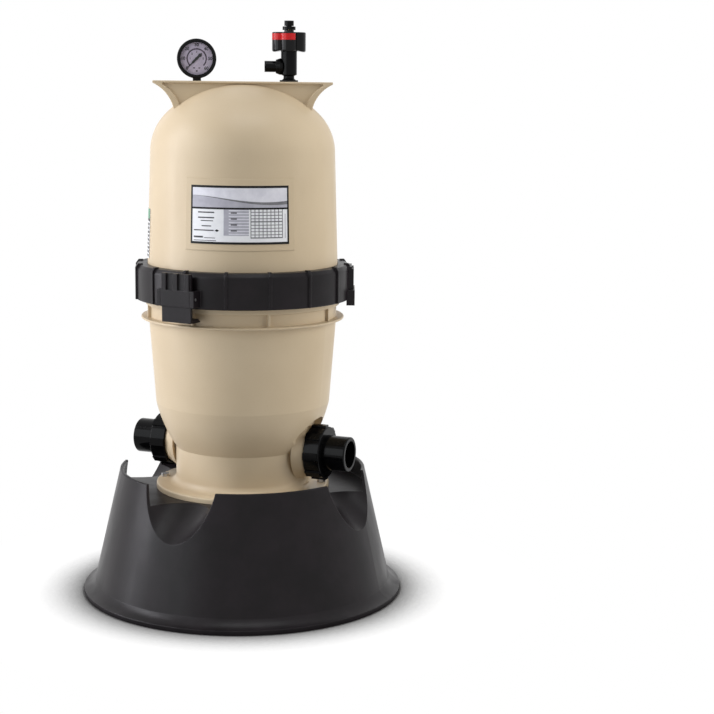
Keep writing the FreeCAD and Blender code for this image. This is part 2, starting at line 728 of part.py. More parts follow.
def tankInside():
    wall = s.tank_wall
    neck = neck_radius - s.skirt_wall
    mouth = thread_root - s.mouth_wall
    return turned("TankInside", [
        (0, tank_floor),
        (neck, tank_floor),
        (neck, crease),
        (bowl_radius - wall, bowl_top),
        (s.barrel_radius - wall, stop_foot),
        (mouth, mouth_foot),
        (mouth, rim + wall),
        (0, rim + wall),
    ], {2: s.bowl_curve})


def portBoss(side):
    root = neck_radius - s.skirt_wall / 2
    thread = s.port_thread_radius
    reach = s.port_boss_reach
    boss = turned("PortBoss", [
        (0, root),
        (s.port_boss_radius + s.port_boss_flare, root),
        (s.port_boss_radius, reach),
        (thread, reach),
        (thread, port_face),
        (0, port_face),
    ])
    boss.Placement = alongPort(side)
    return boss


def nutRecess(side, extra):
    """The room that the bowl leaves for a union nut, grown by an extra wall."""
    radius = s.nut_radius + s.nut_grip_proud + s.nut_room + extra
    length = s.nut_length * 2 + extra
    return cylinder(
        radius, length, alongPort(side).multiply(
            at(0, 0, s.port_boss_reach - s.nut_recess - extra)))


def portBore(side):
    """Water way, counterbore for the inner pipe and groove for the face seal."""
    start = neck_radius - s.skirt_wall * 2
    pipe = s.manifold_radius + s.slip_gap
    groove = s.union_seal_radius + s.slip_gap
    bore = turned("PortBore", [
        (0, start),
        (pipe, start),
        (pipe, s.manifold_reach + s.seat_gap),
        (s.port_bore_radius, s.manifold_reach + s.seat_gap),
        (s.port_bore_radius, port_face + s.bite),
        (0, port_face + s.bite),
    ])
    seal = turned("SealGroove", rectangle(
        s.union_seal_seat - groove, port_face - s.union_seal_radius * 2,
        s.union_seal_seat + groove, port_face + s.bite))
    bore.Placement = alongPort(side)
    seal.Placement = alongPort(side)
    return [bore, seal]


def alongDrain():
    return at(0, 0, deck + s.drain_rise, XAXIS, -90)


def sealGroove():
    """Groove in the tank's rim for the large O-ring."""
    middle = thread_root - s.mouth_wall / 2
    half = s.body_seal_radius + s.slip_gap
    return turned("RimGroove", rectangle(
        middle - half, rim - s.body_seal_radius * 2, middle + half, rim + s.bite))


def makeTank():
    drain_root = neck_radius - s.skirt_wall / 2
    drain_boss = cylinder(
        s.drain_boss_radius, s.drain_reach - drain_root,
        alongDrain().multiply(at(0, 0, drain_root)))
    drain_bore = cylinder(
        s.drain_bore_radius + s.slip_gap, s.drain_reach,
        alongDrain().multiply(at(0, 0, drain_root - s.skirt_wall)))
    outside = tankOutside()
    outside.Placement = turn(s.stop_turn)
    outside = cut(outside, nutRecess(1, Size(0)), nutRecess(-1, Size(0)))
    inside = cut(tankInside(), nutRecess(1, s.tank_wall), nutRecess(-1, s.tank_wall))
    solid = fuse(outside, portBoss(1), portBoss(-1), drain_boss)
    holes = [
        cylinder(s.screw_radius + s.running_gap, s.foot_thickness * 3, spot)
        for spot in screwSpots(deck - s.foot_thickness)
    ]
    keep("tank_body", cut(
        solid, inside, sealGroove(), drain_bore,
        *portBore(1), *portBore(-1), *holes))
    middle = thread_root - s.mouth_wall / 2
    keep("tank_o_ring", torus(middle, s.body_seal_radius, at(0, 0, rim - s.body_seal_radius)))


def makeDrainPlug():
    face = s.drain_reach + s.drain_seal_radius * 2 + s.seat_gap
    shank = s.drain_bore_radius - s.running_gap
    head = s.drain_boss_radius
    body = newBody("DrainPlug")
    revolve(body, [
        (0, face - s.drain_plug_length),
        (shank, face - s.drain_plug_length),
        (shank, face),
        (head - s.drain_grip_proud, face),
        (head - s.drain_grip_proud, face + s.drain_head),
        (0, face + s.drain_head),
    ])
    grip = padMiddle(body, rectangle(
        s.drain_bore_radius / 2, face + s.seat_gap, head, face + s.drain_head),
        s.drain_grip_width)
    around(body, grip, s.drain_grip_count)
    keep("drain_plug", body, alongDrain())
    seal = torus(s.drain_bore_radius + s.drain_seal_radius + s.running_gap, s.drain_seal_radius)
    seal_height = s.drain_reach + s.drain_seal_radius + s.slip_gap
    keep("drain_plug_o_ring", seal, alongDrain().multiply(at(0, 0, seal_height)))


# ---------------------------------------------------------------- locking ring and latch

def gripFins(inner, outer, foot, top):
    """Finger fins spread over a grip's width, along the local X direction."""
    count = round(s.fin_count.number)
    spread = s.grip_width - s.fin_width
    fins = []
    for index in range(count):
        share = index / (count - 1) - 0.5 if count > 1 else 0
        middle = spread * share - s.fin_width / 2
        fins.append(box(outer - inner, s.fin_width, top - foot, at(inner, middle, foot)))
    return fins


def placed(things, placement):
    for thing in things:
        thing.Placement = placement.multiply(thing.Placement)
    return things


def ringGrip(direction):
    """A fixed finger grip: a finned pad over a wider block."""
    inner = ring_bore + s.bite / 2
    block_foot = ring_foot - s.grip_block_drop
    block_top = block_foot + s.grip_block_height
    grip_top = ring_top - s.grip_top_gap
    pad_radius = ring_radius + s.fin_proud
    pieces = [
        box(pad_radius - inner, s.grip_width, grip_top - block_top,
            at(inner, s.grip_width / -2, block_top)),
        box(ring_radius + s.grip_proud - inner, s.grip_block_width, s.grip_block_height,
            at(inner, s.grip_block_width / -2, block_foot)),
    ]
    pieces += gripFins(inner, pad_radius + s.fin_proud, block_top, grip_top - s.fin_proud)
    return placed(pieces, turn(direction))


def latchPinSpot():
    return ring_radius + s.latch_reach, ring_foot + s.latch_pin_height


def latchEars():
    """Two ears on the ring that carry the latch's pin."""
    inner = ring_bore + s.bite / 2
    pin_radius, pin_height = latchPinSpot()
    outer = pin_radius + s.latch_barrel
    foot = pin_height - s.ear_height / 2
    lever = s.grip_block_width - s.ear_width * 2
    ears = []
    for side in (lever / 2, s.grip_block_width / -2):
        ears.append(box(outer - inner, s.ear_width, s.ear_height, at(inner, side, foot)))
    return placed(ears, turn(s.latch_turn))


def alongPin(length, radial, height):
    """Local Z along the latch's pin, centred on the latch."""
    return turn(s.latch_turn).multiply(at(radial, length / 2, height, XAXIS, 90))


def makeRing():
    body = newBody("RingTurned")
    shoulder = ring_radius - s.ring_shoulder
    lip_bore = lid_foot_radius + s.running_gap
    revolve(body, [
        (ring_bore, ring_foot),
        (ring_radius, ring_foot),
        (ring_radius, ring_top - s.ring_chamfer),
        (shoulder, ring_top),
        (lip_bore, ring_top),
        (lip_bore, lip_foot),
        (ring_bore, lip_foot),
    ], rounds={1: s.edge_round, 2: s.edge_round * 3, 3: s.edge_round})
    proud = ring_radius + s.ring_rib_proud
    rib = padMiddle(body, [
        (ring_bore + s.ring_wall / 2, ring_foot + s.bite),
        (proud, ring_foot + s.bite),
        (proud, ring_top - s.ring_chamfer + s.ring_rib_rise),
        (shoulder + s.ring_rib_proud, ring_top + s.ring_rib_rise),
        (shoulder - s.ring_shoulder, ring_top + s.ring_rib_rise),
        (shoulder - s.ring_shoulder, ring_top - s.ring_lip / 2),
        (ring_bore + s.ring_wall / 2, ring_top - s.ring_lip / 2),
    ], s.ring_rib_width)
    around(body, rib, s.ring_rib_count)
    crest = ring_bore - s.thread_depth + s.thread_gap
    start = mouth_foot + s.thread_rise - s.thread_pitch / 2
    threadRidge(body, ring_bore + s.bite / 2, crest, start, thread_lead)
    body.Placement = turn(s.ring_rib_turn)

    lever = s.grip_block_width - s.ear_width * 2
    recess = box(
        s.latch_reach * 2, lever, s.ring_height * 2,
        turn(s.latch_turn).multiply(at(ring_radius, lever / -2, ring_foot - s.bite)))
    pin_radius, pin_height = latchPinSpot()
    hole_length = s.grip_block_width + s.bite * 2
    hole = cylinder(
        s.latch_pin_radius + s.slip_gap, hole_length,
        alongPin(hole_length, pin_radius, pin_height))
    grips = []
    for step in (1, 2):
        grips += ringGrip(s.latch_turn + s.grip_spacing * step)
    keep("locking_ring", cut(fuse(cut(body, recess), *latchEars(), *grips), hole))


def makeLatch():
    pin_radius, pin_height = latchPinSpot()
    width = s.grip_block_width - s.ear_width * 2 - s.running_gap * 2
    plate_back = pin_radius - s.latch_plate / 2
    foot = pin_height - s.latch_drop
    top = pin_height + s.latch_rise
    hook_tip = stop_radius + s.hook_gap
    plate = box(s.latch_plate, width, top - foot, at(plate_back, width / -2, foot))
    block = box(
        s.latch_plate / 2 + s.latch_barrel, width, s.ear_height,
        at(plate_back, width / -2, pin_height - s.ear_height / 2))
    hook = newBody("Hook")
    padMiddle(hook, [
        (hook_tip, foot),
        (plate_back + s.latch_plate / 2, foot),
        (plate_back + s.latch_plate / 2, foot + s.hook_height),
        (hook_tip + s.hook_height, foot + s.hook_height),
    ], width)
    fin_foot = pin_height + s.ear_height / 2
    fins = gripFins(pin_radius, plate_back + s.latch_plate + s.fin_proud, fin_foot, top)
    placed([plate, block, hook] + fins, turn(s.latch_turn))
    barrel = cylinder(s.latch_barrel, width, alongPin(width, pin_radius, pin_height))
    bore = cylinder(
        s.latch_pin_radius + s.slip_gap, width * 2,
        alongPin(width * 2, pin_radius, pin_height))
    keep("ring_latch", cut(fuse(plate, block, hook, barrel, *fins), bore))
    pin = cylinder(
        s.latch_pin_radius, s.grip_block_width,
        alongPin(s.grip_block_width, pin_radius, pin_height))
    keep("latch_pin", pin)
    spring_length = plate_back - ring_radius - s.slip_gap * 2
    spring = coil(
        s.latch_spring_radius.number, s.latch_spring_wire.number, spring_length.number, 3)
    spring_foot = turn(s.latch_turn).multiply(
        at(ring_radius + s.slip_gap, 0, pin_height + s.latch_spring_rise, YAXIS, 90))
    keep("latch_spring", spring, spring_foot)


# ---------------------------------------------------------------- lid

def domePoint(offset):
    """Crown's radius and the corner where crown and knuckle meet, set in by an offset."""
    across = lid_shoulder_radius - s.dome_knuckle
    knuckle = s.dome_knuckle
    rise = s.dome_rise
    crown = (across * across + rise * rise - knuckle * knuckle) / ((rise - knuckle) * 2)
    share = (crown - offset) / (crown - knuckle)
    centre = apex - crown
    return crown, across * share, centre + (dome_foot - centre) * share


def lidSkin(offset, foot):
    """Corners of the lid's wall, set in by an offset, from its foot to the axis."""
    crown, across, up = domePoint(offset)
    corners = [
        (lid_foot_radius - offset, foot),
        (lid_shoulder_radius - offset, dome_foot),
        (across, up),
        (0, apex - offset),
    ]
    return corners, crown - offset, s.dome_knuckle - offset


def saddle():
    """The plate with its swept ends, and the web that carries them."""
    tip = s.saddle_length / 2
    foot = tip - s.saddle_inset
    low = plate_foot - s.saddle_drop
    inner_tip = tip - s.saddle_end
    inner_foot = foot - s.saddle_end
    curve = s.saddle_curve
    frame = newBody("SaddleFrame")
    pad = padMiddle(frame, [
        (-tip, saddle_top),
        (-tip, plate_foot),
        (-foot, low),
        (-inner_foot, low),
        (-inner_tip, plate_foot),
        (inner_tip, plate_foot),
        (inner_foot, low),
        (foot, low),
        (tip, plate_foot),
        (tip, saddle_top),
    ], s.saddle_depth, {1: -curve, 3: curve, 5: curve, 7: -curve})
    doc.recompute()
    edges = frame.newObject("PartDesign::Fillet", "Rounds")
    edges.Base = (pad, [f"Edge{index + 1}" for index in range(len(pad.Shape.Edges))])
    bind(edges, Radius=s.flange_round)
    frame.Tip = edges
    web = newBody("SaddleWeb")
    padMiddle(web, [
        (-inner_tip, plate_foot),
        (-inner_foot, low),
        (inner_foot, low),
        (inner_tip, plate_foot),
    ], s.saddle_web, {0: -curve, 2: -curve})
    return [frame, web]


def lidRadius(height):
    """Outside of the lid's wall at a height between flange and dome."""
    foot = lid_foot + s.lid_flange
    share = (height - foot) / (dome_foot - foot)
    return lid_foot_radius + (lid_shoulder_radius - lid_foot_radius) * share


def skinPatch(name, foot, top, inner, outer, sweep):
    """A thin patch that follows the lid's wall between two offsets."""
    return turned(name, [
        (lidRadius(foot) + inner, foot),
        (lidRadius(foot) + outer, foot),
        (lidRadius(top) + outer, top),
        (lidRadius(top) + inner, top),
    ], sweep=sweep)


def makeLid():
    foot = lid_foot + s.lid_flange
    corners, crown, knuckle = lidSkin(Size(0), foot)
    outside = turned("LidOutside", [
        (0, lid_foot),
        (thread_root, lid_foot),
        (thread_root, foot),
        *corners,
    ], {4: knuckle, 5: crown})
    corners, crown, knuckle = lidSkin(s.lid_wall, lid_foot - s.bite)
    inside = turned("LidInside", [(0, lid_foot - s.bite), *corners], {2: knuckle, 3: crown})

    label_top = (ring_top + dome_foot + s.label_height) / 2 + s.label_shift
    pad = skinPatch(
        "LabelPad", label_top - s.label_height - s.pad_margin, label_top + s.pad_margin,
        s.lid_wall / -2, s.pad_proud, s.pad_angle)
    pad.Placement = turn(s.label_turn - 90)

    bosses = []
    bores = []
    boss_height = s.fitting_thread_length * 2
    for side in (-1, 1):
        bosses.append(cylinder(
            s.fitting_boss_radius, boss_height,
            at(s.fitting_offset * side, 0, saddle_top - boss_height)))
        bores.append(cylinder(
            s.fitting_thread_radius + s.slip_gap, boss_height * 3,
            at(s.fitting_offset * side, 0, saddle_top - boss_height * 2)))
    solid = fuse(outside, pad, *saddle(), *bosses)
    keep("lid", cut(solid, inside, *bores), turn(s.lid_turn))

    skin = s.pad_proud + s.slip_gap
    label = skinPatch(
        "FrontLabel", label_top - s.label_height, label_top,
        skin, skin + s.label_thickness, s.label_angle)
    keep("front_label", label, turn(s.lid_turn + s.label_turn - 90))
    side_foot = ring_top + s.side_label_rise
    side = skinPatch(
        "SideLabel", side_foot, side_foot + s.side_label_height,
        s.slip_gap, s.slip_gap + s.label_thickness, s.side_label_angle)
    keep("side_label", side, turn(s.lid_turn + s.side_label_turn - 90))


# ---------------------------------------------------------------- unions

def makeUnion(name, side):
    lay = alongPort(side)
    nut_foot = s.port_boss_reach + s.nut_offset
    nut_top = nut_foot + s.nut_length
    flange_foot = port_face + s.seat_gap
    flange_top = flange_foot + s.tail_flange
    lip_foot_here = flange_top + s.seat_gap
    nut_bore = s.port_thread_radius + s.running_gap
    nut = newBody("UnionNut")
    revolve(nut, [
        (nut_bore, nut_foot),
        (s.nut_radius, nut_foot),
        (s.nut_radius, nut_top),
        (s.tail_radius + s.running_gap, nut_top),
        (s.tail_radius + s.running_gap, lip_foot_here),
        (nut_bore, lip_foot_here),
    ], rounds={1: s.edge_round, 2: s.edge_round})
    grip = padMiddle(nut, rectangle(
        s.nut_radius - s.bite * 2, nut_foot + s.bite,
        s.nut_radius + s.nut_grip_proud, nut_top - s.edge_round),
        s.nut_grip_width)
    around(nut, grip, s.nut_grip_count)
    keep(f"{name}_union_nut", nut, lay)

    mouth = port_face + s.tail_length
    tail = turned("Tailpiece", [
        (s.port_bore_radius, flange_foot),
        (s.tail_flange_radius, flange_foot),
        (s.tail_flange_radius, flange_top),
        (s.tail_radius, flange_top),
        (s.tail_radius, mouth),
        (s.socket_radius, mouth),
        (s.socket_radius, mouth - s.socket_depth),
        (s.port_bore_radius, mouth - s.socket_depth),
    ], rounds={4: s.edge_round})
    keep(f"{name}_tailpiece", tail, lay)
    seal = torus(s.union_seal_seat, s.union_seal_radius)
    keep(f"{name}_union_o_ring", seal, lay.multiply(at(0, 0, port_face - s.union_seal_radius)))


# ---------------------------------------------------------------- inside the tank

def makeManifold():
    """Pipe from the outlet port to the spigot under the cartridge."""
    radius = s.manifold_radius
    bore = radius - s.manifold_wall
    groove_middle = s.manifold_reach - s.small_seal_radius * 4
    half = s.small_seal_radius + s.slip_gap
    groove_floor = radius - s.small_seal_radius * 2
    pipe = turned("OutletPipe", [
        (0, 0),
        (radius, 0),
        (radius, groove_middle - half),
        (groove_floor, groove_middle - half),
        (groove_floor, groove_middle + half),
        (radius, groove_middle + half),
        (radius, s.manifold_reach),
        (0, s.manifold_reach),
    ])
    pipe.Placement = alongPort(-1)
    spigot_top = seat + s.spigot_height
    spigot_groove = seat + s.cap_thickness / 2
    spigot = turned("Spigot", [
        (0, tank_floor),
        (s.spigot_radius / 2, tank_floor),
        (s.spigot_radius, port_height - radius),
        (s.spigot_radius, seat - s.seat_thickness),
        (s.seat_radius, seat - s.seat_thickness),
        (s.seat_radius, seat),
        (s.spigot_radius, seat),
        (s.spigot_radius, spigot_groove - half),
        (s.spigot_radius - s.small_seal_radius * 2, spigot_groove - half),
        (s.spigot_radius - s.small_seal_radius * 2, spigot_groove + half),
        (s.spigot_radius, spigot_groove + half),
        (s.spigot_radius, spigot_top),
        (0, spigot_top),
    ])
    pipe_bore = cylinder(bore, s.manifold_reach * 2, alongPort(-1))
    spigot_bore = cylinder(bore, s.spigot_height * 9, at(0, 0, port_height))
    bridge = box(
        s.spigot_radius * 2 - s.manifold_wall, s.bleed_radius * 4, s.seat_thickness,
        at(s.manifold_wall / 2 - s.spigot_radius, s.bleed_radius * -2, seat - s.seat_thickness))
    hole = cylinder(
        s.bleed_radius + s.slip_gap, s.seat_thickness * 3,
        at(0, 0, seat - s.seat_thickness * 2))
    drilled = cut(fuse(pipe, spigot), pipe_bore, spigot_bore)
    keep("outlet_manifold", cut(fuse(drilled, bridge), hole))

    pipe_seal = torus(radius - s.small_seal_radius, s.small_seal_radius)
    keep("manifold_o_ring", pipe_seal, alongPort(-1).multiply(at(0, 0, groove_middle)))
    spigot_seal = torus(s.spigot_radius - s.small_seal_radius, s.small_seal_radius)
    keep("cartridge_o_ring", spigot_seal, at(0, 0, spigot_groove))


def makeDiffuser():
    """Closed sleeve in the inlet port with windows that spread the flow."""
    radius = s.manifold_radius
    bore = radius - s.manifold_wall
    end = s.manifold_reach
    start = end - s.diffuser_length
    window_foot = start + s.manifold_wall
    body = turned("Diffuser", [
        (0, start),
        (radius, start),
        (radius, end),
        (bore, end),
        (bore, window_foot),
        (0, window_foot),
    ])
    windows = []
    for angle in (0, 90):
        windows.append(box(
            radius * 3, bore, s.diffuser_window,
            turn(angle).multiply(at(radius * -1.5, bore / -2, window_foot))))
    keep("inlet_diffuser", cut(body, *windows), alongPort(1))


def pleatFace(inset):
    """The star that the folded sheet makes, with its sides set in."""
    tip = (s.cartridge_radius - s.cap_rim - s.band_thickness).number
    root = tip - s.pleat_depth.number
    count = round(s.pleat_count.number)
    half_tip = s.pleat_tip.number / 2 - inset
    half_root = math.pi * root / count - s.pleat_thickness.number / 2 - inset
    corners = []
    for index in range(count):
        middle = 2 * math.pi * index / count
        for radius, across in (
                (root, -half_root), (tip, -half_tip), (tip, half_tip), (root, half_root)):
            angle = middle + across / radius
            corners.append(Vector(math.cos(angle), math.sin(angle), 0) * (radius - inset))
    lift = Vector(0, 0, pleat_foot.number)
    return Part.Face(Part.makePolygon([spot + lift for spot in corners + corners[:1]]))


def makeCartridge():
    hub = s.spigot_radius + s.slip_gap
    cap = s.cartridge_radius
    keep("cartridge_bottom_cap", turned("BottomCap", rectangle(
        hub, cartridge_foot, cap, pleat_foot)))
    keep("cartridge_top_cap", turned("TopCap", rectangle(
        s.bleed_radius + s.slip_gap, pleat_top, cap, cartridge_top)))

    core = turned("CoreTube", rectangle(
        s.core_radius - s.core_wall, pleat_foot, s.core_radius, pleat_top))
    rows = round(s.core_slot_rows.number)
    pitch = (pleat_top - pleat_foot) / rows
    slots = []
    for row in range(rows):
        height = pleat_foot + pitch * (row + 0.5) - s.core_slot_height / 2
        for angle in (0, 60, 120):
            slots.append(box(
                s.core_radius * 3, s.core_slot_width, s.core_slot_height,
                turn(angle).multiply(at(s.core_radius * -1.5, s.core_slot_width / -2, height))))
    keep("cartridge_core", cut(core, *slots))

    rise = ZAXIS * (pleat_top - pleat_foot).number
    pleats = doc.addObject("Part::Feature", "Pleats")
    pleats.Shape = pleatFace(0).extrude(rise).cut(pleatFace(s.pleat_thickness.number).extrude(rise))
    keep("cartridge_pleats", pleats)

    bands = []
    count = round(s.band_count.number)
    inside = cap - s.cap_rim - s.band_thickness + s.slip_gap
    for index in range(count):
        height = pleat_foot + (pleat_top - pleat_foot) * (index + 1) / (count + 1)
        bands.append(turned("Band", rectangle(
            inside, height - s.band_height / 2,
            inside + s.band_thickness, height + s.band_height / 2)))
    keep("cartridge_bands", fuse(*bands))


def makeAirBleed():
    foot = seat - s.seat_thickness
    top = cartridge_top + s.bleed_above_cap
    bore = s.bleed_radius - s.bleed_wall
    keep("air_bleed_tube", turned("BleedTube", rectangle(bore, foot, s.bleed_radius, top)))
    screen = turned("BleedScreen", [
        (s.bleed_radius + s.slip_gap, top - s.screen_height + s.bleed_wall * 2),
        (s.screen_radius, top - s.screen_height + s.bleed_wall * 2),
        (s.screen_radius, top + s.bleed_wall),
        (0, top + s.bleed_wall),
        (0, top),
        (s.bleed_radius + s.slip_gap, top),
    ])
    keep("air_bleed_screen", screen)


# ---------------------------------------------------------------- gauge

def gaugeFrame():
    """Local Z towards the gauge's front and local Y up, origin at the dial's face."""
    spot = at(-s.fitting_offset, s.gauge_depth / -2, saddle_top + s.gauge_rise, XAXIS, 90)
    return turn(s.lid_turn).multiply(spot)


def makeGauge():
    lay = gaugeFrame()
    case_radius = s.gauge_radius - s.bezel_wall
    back = -s.gauge_depth
    case_bore = case_radius - s.gauge_wall
    dial_radius = case_bore
    ledge = case_bore - s.gauge_wall
    rim_here = s.dial_depth
    body = turned("GaugeCase", [
        (0, back),
        (case_radius, back),
        (case_radius, rim_here),
        (dial_radius, rim_here),
        (dial_radius, -s.dial_thickness),
        (ledge, -s.dial_thickness),
        (ledge, back + s.gauge_wall),
        (0, back + s.gauge_wall),
    ], rounds={1: s.edge_round})
    stem_middle = s.gauge_depth / -2
    stem_hole = s.stem_width + s.slip_gap * 2
    hole = box(
        stem_hole, s.gauge_radius, stem_hole,
        at(stem_hole / -2, -s.gauge_radius - s.gauge_wall, stem_middle - stem_hole / 2))
    keep("gauge_case", cut(body, hole), lay)

    lens_foot = rim_here
    lens_top = lens_foot + s.lens_thickness
    bezel_bore = case_radius + s.slip_gap
    bezel = turned("Bezel", [
        (bezel_bore, s.dial_thickness * -6),
        (s.gauge_radius, s.dial_thickness * -6),
        (s.gauge_radius, lens_top + s.slip_gap + s.bezel_lip),
        (s.gauge_radius - s.bezel_face, lens_top + s.slip_gap + s.bezel_lip),
        (s.gauge_radius - s.bezel_face, lens_top + s.slip_gap),
        (bezel_bore, lens_top + s.slip_gap),
    ], rounds={2: s.edge_round})
    keep("gauge_bezel", bezel, lay)
    lens = cylinder(case_radius, s.lens_thickness)
    keep("gauge_lens", lens, lay.multiply(at(0, 0, lens_foot)))

    shaft_hole = s.pointer_shaft + s.running_gap
    dial = turned("Dial", rectangle(
        shaft_hole, -s.dial_thickness, dial_radius - s.slip_gap, 0))
    keep("gauge_dial", dial, lay)

    movement_top = -s.dial_thickness - s.running_gap
    movement = box(
        s.movement_width, s.movement_width, s.movement_depth,
        at(s.movement_width / -2, s.movement_width / -2, movement_top - s.movement_depth))
    movement_hole = cylinder(
        s.pointer_shaft + s.slip_gap, s.movement_depth * 3,
        at(0, 0, movement_top - s.movement_depth * 2))
    keep("gauge_movement", cut(movement, movement_hole), lay)

    needle = s.pointer_shaft
    body = newBody("Pointer")
    revolve(body, [
        (0, movement_top - s.movement_depth / 2),
        (s.pointer_shaft, movement_top - s.movement_depth / 2),
        (s.pointer_shaft, s.running_gap),
        (s.pointer_shaft * 2.5, s.running_gap),
        (s.pointer_shaft * 2.5, s.dial_depth - s.running_gap * 2),
        (0, s.dial_depth - s.running_gap * 2),
    ])
    blade = padMiddle(body, rectangle(
        s.pointer_length / -3, s.running_gap * 2,
        s.pointer_length, s.dial_depth / 2), needle)
    body.Tip = blade
    keep("gauge_pointer", body, lay.multiply(turn(s.pointer_zero)))

    width = s.stem_width
    stem_top = s.bourdon_radius + s.bourdon_tube + s.slip_gap
    block_foot = s.gauge_rise - s.seat_gap
    block = box(
        width, block_foot - stem_top, width,
        at(width / -2, -block_foot, stem_middle - width / 2))
    thread = cylinder(
        s.fitting_thread_radius, s.fitting_thread_length + s.seat_gap + s.bite,
        at(0, -block_foot + s.bite, stem_middle, XAXIS, 90))
    bore = cylinder(
        s.fitting_thread_radius / 3, s.gauge_rise,
        at(0, -stem_top - width / 4, stem_middle, XAXIS, 90))
    keep("gauge_stem", cut(fuse(block, thread), bore), lay)

    bend = torus(s.bourdon_radius, s.bourdon_tube, sweep=255)
    start = at(0, 0, stem_middle, ZAXIS, -90)
    keep("gauge_bourdon_tube", bend, lay.multiply(start))


# ---------------------------------------------------------------- relief valve

def valveFrame():
    spot = at(s.fitting_offset, 0, saddle_top)
    return turn(s.lid_turn).multiply(spot)


def makeReliefValve():
    lay = valveFrame()
    barrel_foot = s.valve_washer + s.valve_neck
    barrel_top = barrel_foot + s.valve_barrel
    seat_here = barrel_foot + s.valve_seat_rise
    cover_foot = barrel_top - s.valve_cover
    rod_hole = s.plunger_rod + s.slip_gap

    gasket = turned("BaseGasket", rectangle(
        s.fitting_thread_radius + s.slip_gap, s.slip_gap,
        s.valve_washer_radius, s.valve_washer))
    keep("relief_base_gasket", gasket, lay)

    barrel = turned("ValveBody", [
        (s.valve_inlet_radius, -s.fitting_thread_length),
        (s.fitting_thread_radius, -s.fitting_thread_length),
        (s.fitting_thread_radius, s.valve_washer),
        (s.valve_neck_radius + s.valve_neck_flare, s.valve_washer),
        (s.valve_neck_radius, s.valve_washer + s.valve_neck_flare),
        (s.valve_neck_radius, barrel_foot),
        (s.valve_barrel_radius, barrel_foot + s.edge_round),
        (s.valve_barrel_radius, barrel_top),
        (rod_hole, barrel_top),
        (rod_hole, cover_foot),
        (s.valve_chamber_radius, cover_foot),
        (s.valve_chamber_radius, seat_here),
        (s.valve_inlet_radius, seat_here),
    ])
    out = at(0, 0, barrel_foot + s.outlet_rise, YAXIS, -90)
    collar_end = s.valve_barrel_radius + s.outlet_collar
    spout = turned("Outlet", [
        (0, s.valve_chamber_radius + s.bite),
        (s.outlet_collar_radius - s.edge_round, s.valve_chamber_radius + s.bite),
        (s.outlet_collar_radius, s.valve_barrel_radius + s.bite),
        (s.outlet_radius + s.edge_round, collar_end),
        (s.outlet_radius, collar_end),
        (s.outlet_radius, s.outlet_reach),
        (0, s.outlet_reach),
    ])
    spout.Placement = out
    chamber = cylinder(
        s.valve_chamber_radius, cover_foot - seat_here, at(0, 0, seat_here))
    spout_bore = cylinder(s.outlet_bore_radius, s.outlet_reach + s.bite, out)
    keep("relief_valve_body", cut(fuse(barrel, spout), chamber, spout_bore), lay)

    knob_foot = barrel_top - s.knob_skirt
    knob_top = knob_foot + s.knob_height
    boss_top = knob_top + s.knob_boss
    knob = newBody("Knob")
    revolve(knob, [
        (s.valve_barrel_radius + s.running_gap * 2, knob_foot),
        (s.knob_radius, knob_foot),
        (s.knob_radius, knob_top),
        (s.knob_boss_radius, knob_top),
        (s.knob_boss_radius, boss_top),
        (rod_hole, boss_top),
        (rod_hole, barrel_top + s.seat_gap),
        (s.valve_barrel_radius + s.running_gap * 2, barrel_top + s.seat_gap),
    ], rounds={1: s.edge_round / 2, 2: s.edge_round})
    band_top = knob_top - s.band_drop
    band_foot = band_top - s.knob_band
    lobe = padMiddle(knob, rectangle(
        s.knob_radius - s.bite * 2, knob_foot - s.knob_lobe_drop,
        s.knob_radius + s.knob_lobe, band_foot - s.seat_gap),
        s.knob_lobe_width, rounds={1: s.edge_round / 2, 2: s.edge_round})
    around(knob, lobe, s.knob_lobe_count)
    keep("relief_knob", knob, lay)
    band = turned("KnobBand", rectangle(
        s.knob_radius + s.slip_gap, band_foot,
        s.knob_radius + s.band_proud, band_top), sweep=s.band_angle)
    keep("relief_knob_band", band, lay.multiply(turn(s.band_turn)))

    disc = s.valve_chamber_radius - s.running_gap
    disc_foot = seat_here + s.small_seal_radius * 2 + s.slip_gap * 2
    washer_foot = boss_top + s.seat_gap
    washer_top = washer_foot + s.top_washer
    nut_top = washer_top + s.top_nut_neck + s.top_nut
    plunger = turned("Plunger", [
        (0, disc_foot),
        (disc, disc_foot),
        (disc, disc_foot + s.plunger_disc),
        (s.plunger_rod, disc_foot + s.plunger_disc),
        (s.plunger_rod, nut_top - s.top_nut / 2),
        (0, nut_top - s.top_nut / 2),
    ])
    keep("relief_plunger", plunger, lay)
    seal = torus(s.valve_inlet_radius + s.small_seal_radius * 1.5, s.small_seal_radius)
    seal_height = seat_here + s.small_seal_radius + s.slip_gap
    keep("relief_seat_seal", seal, lay.multiply(at(0, 0, seal_height)))
    spring_foot = disc_foot + s.plunger_disc + s.slip_gap
    spring_length = cover_foot - spring_foot - s.slip_gap
    spring = coil(
        s.valve_spring_radius.number, s.valve_spring_wire.number, spring_length.number, 6)
    keep("relief_spring", spring, lay.multiply(at(0, 0, spring_foot)))

    washer = turned("TopWasher", rectangle(
        rod_hole, washer_foot, s.top_washer_radius, washer_top))
    keep("relief_top_washer", washer, lay)
    neck = s.plunger_rod + s.edge_round
    nut = turned("TopNut", [
        (0, nut_top),
        (0, nut_top - s.top_nut / 2 + s.slip_gap),
        (rod_hole, nut_top - s.top_nut / 2 + s.slip_gap),
        (rod_hole, washer_top),
        (neck, washer_top),
        (neck, washer_top + s.top_nut_neck),
        (s.top_nut_radius, washer_top + s.top_nut_neck),
        (s.top_nut_radius, nut_top),
    ])
    keep("relief_top_nut", nut, lay)


# ---------------------------------------------------------------- build, check, write

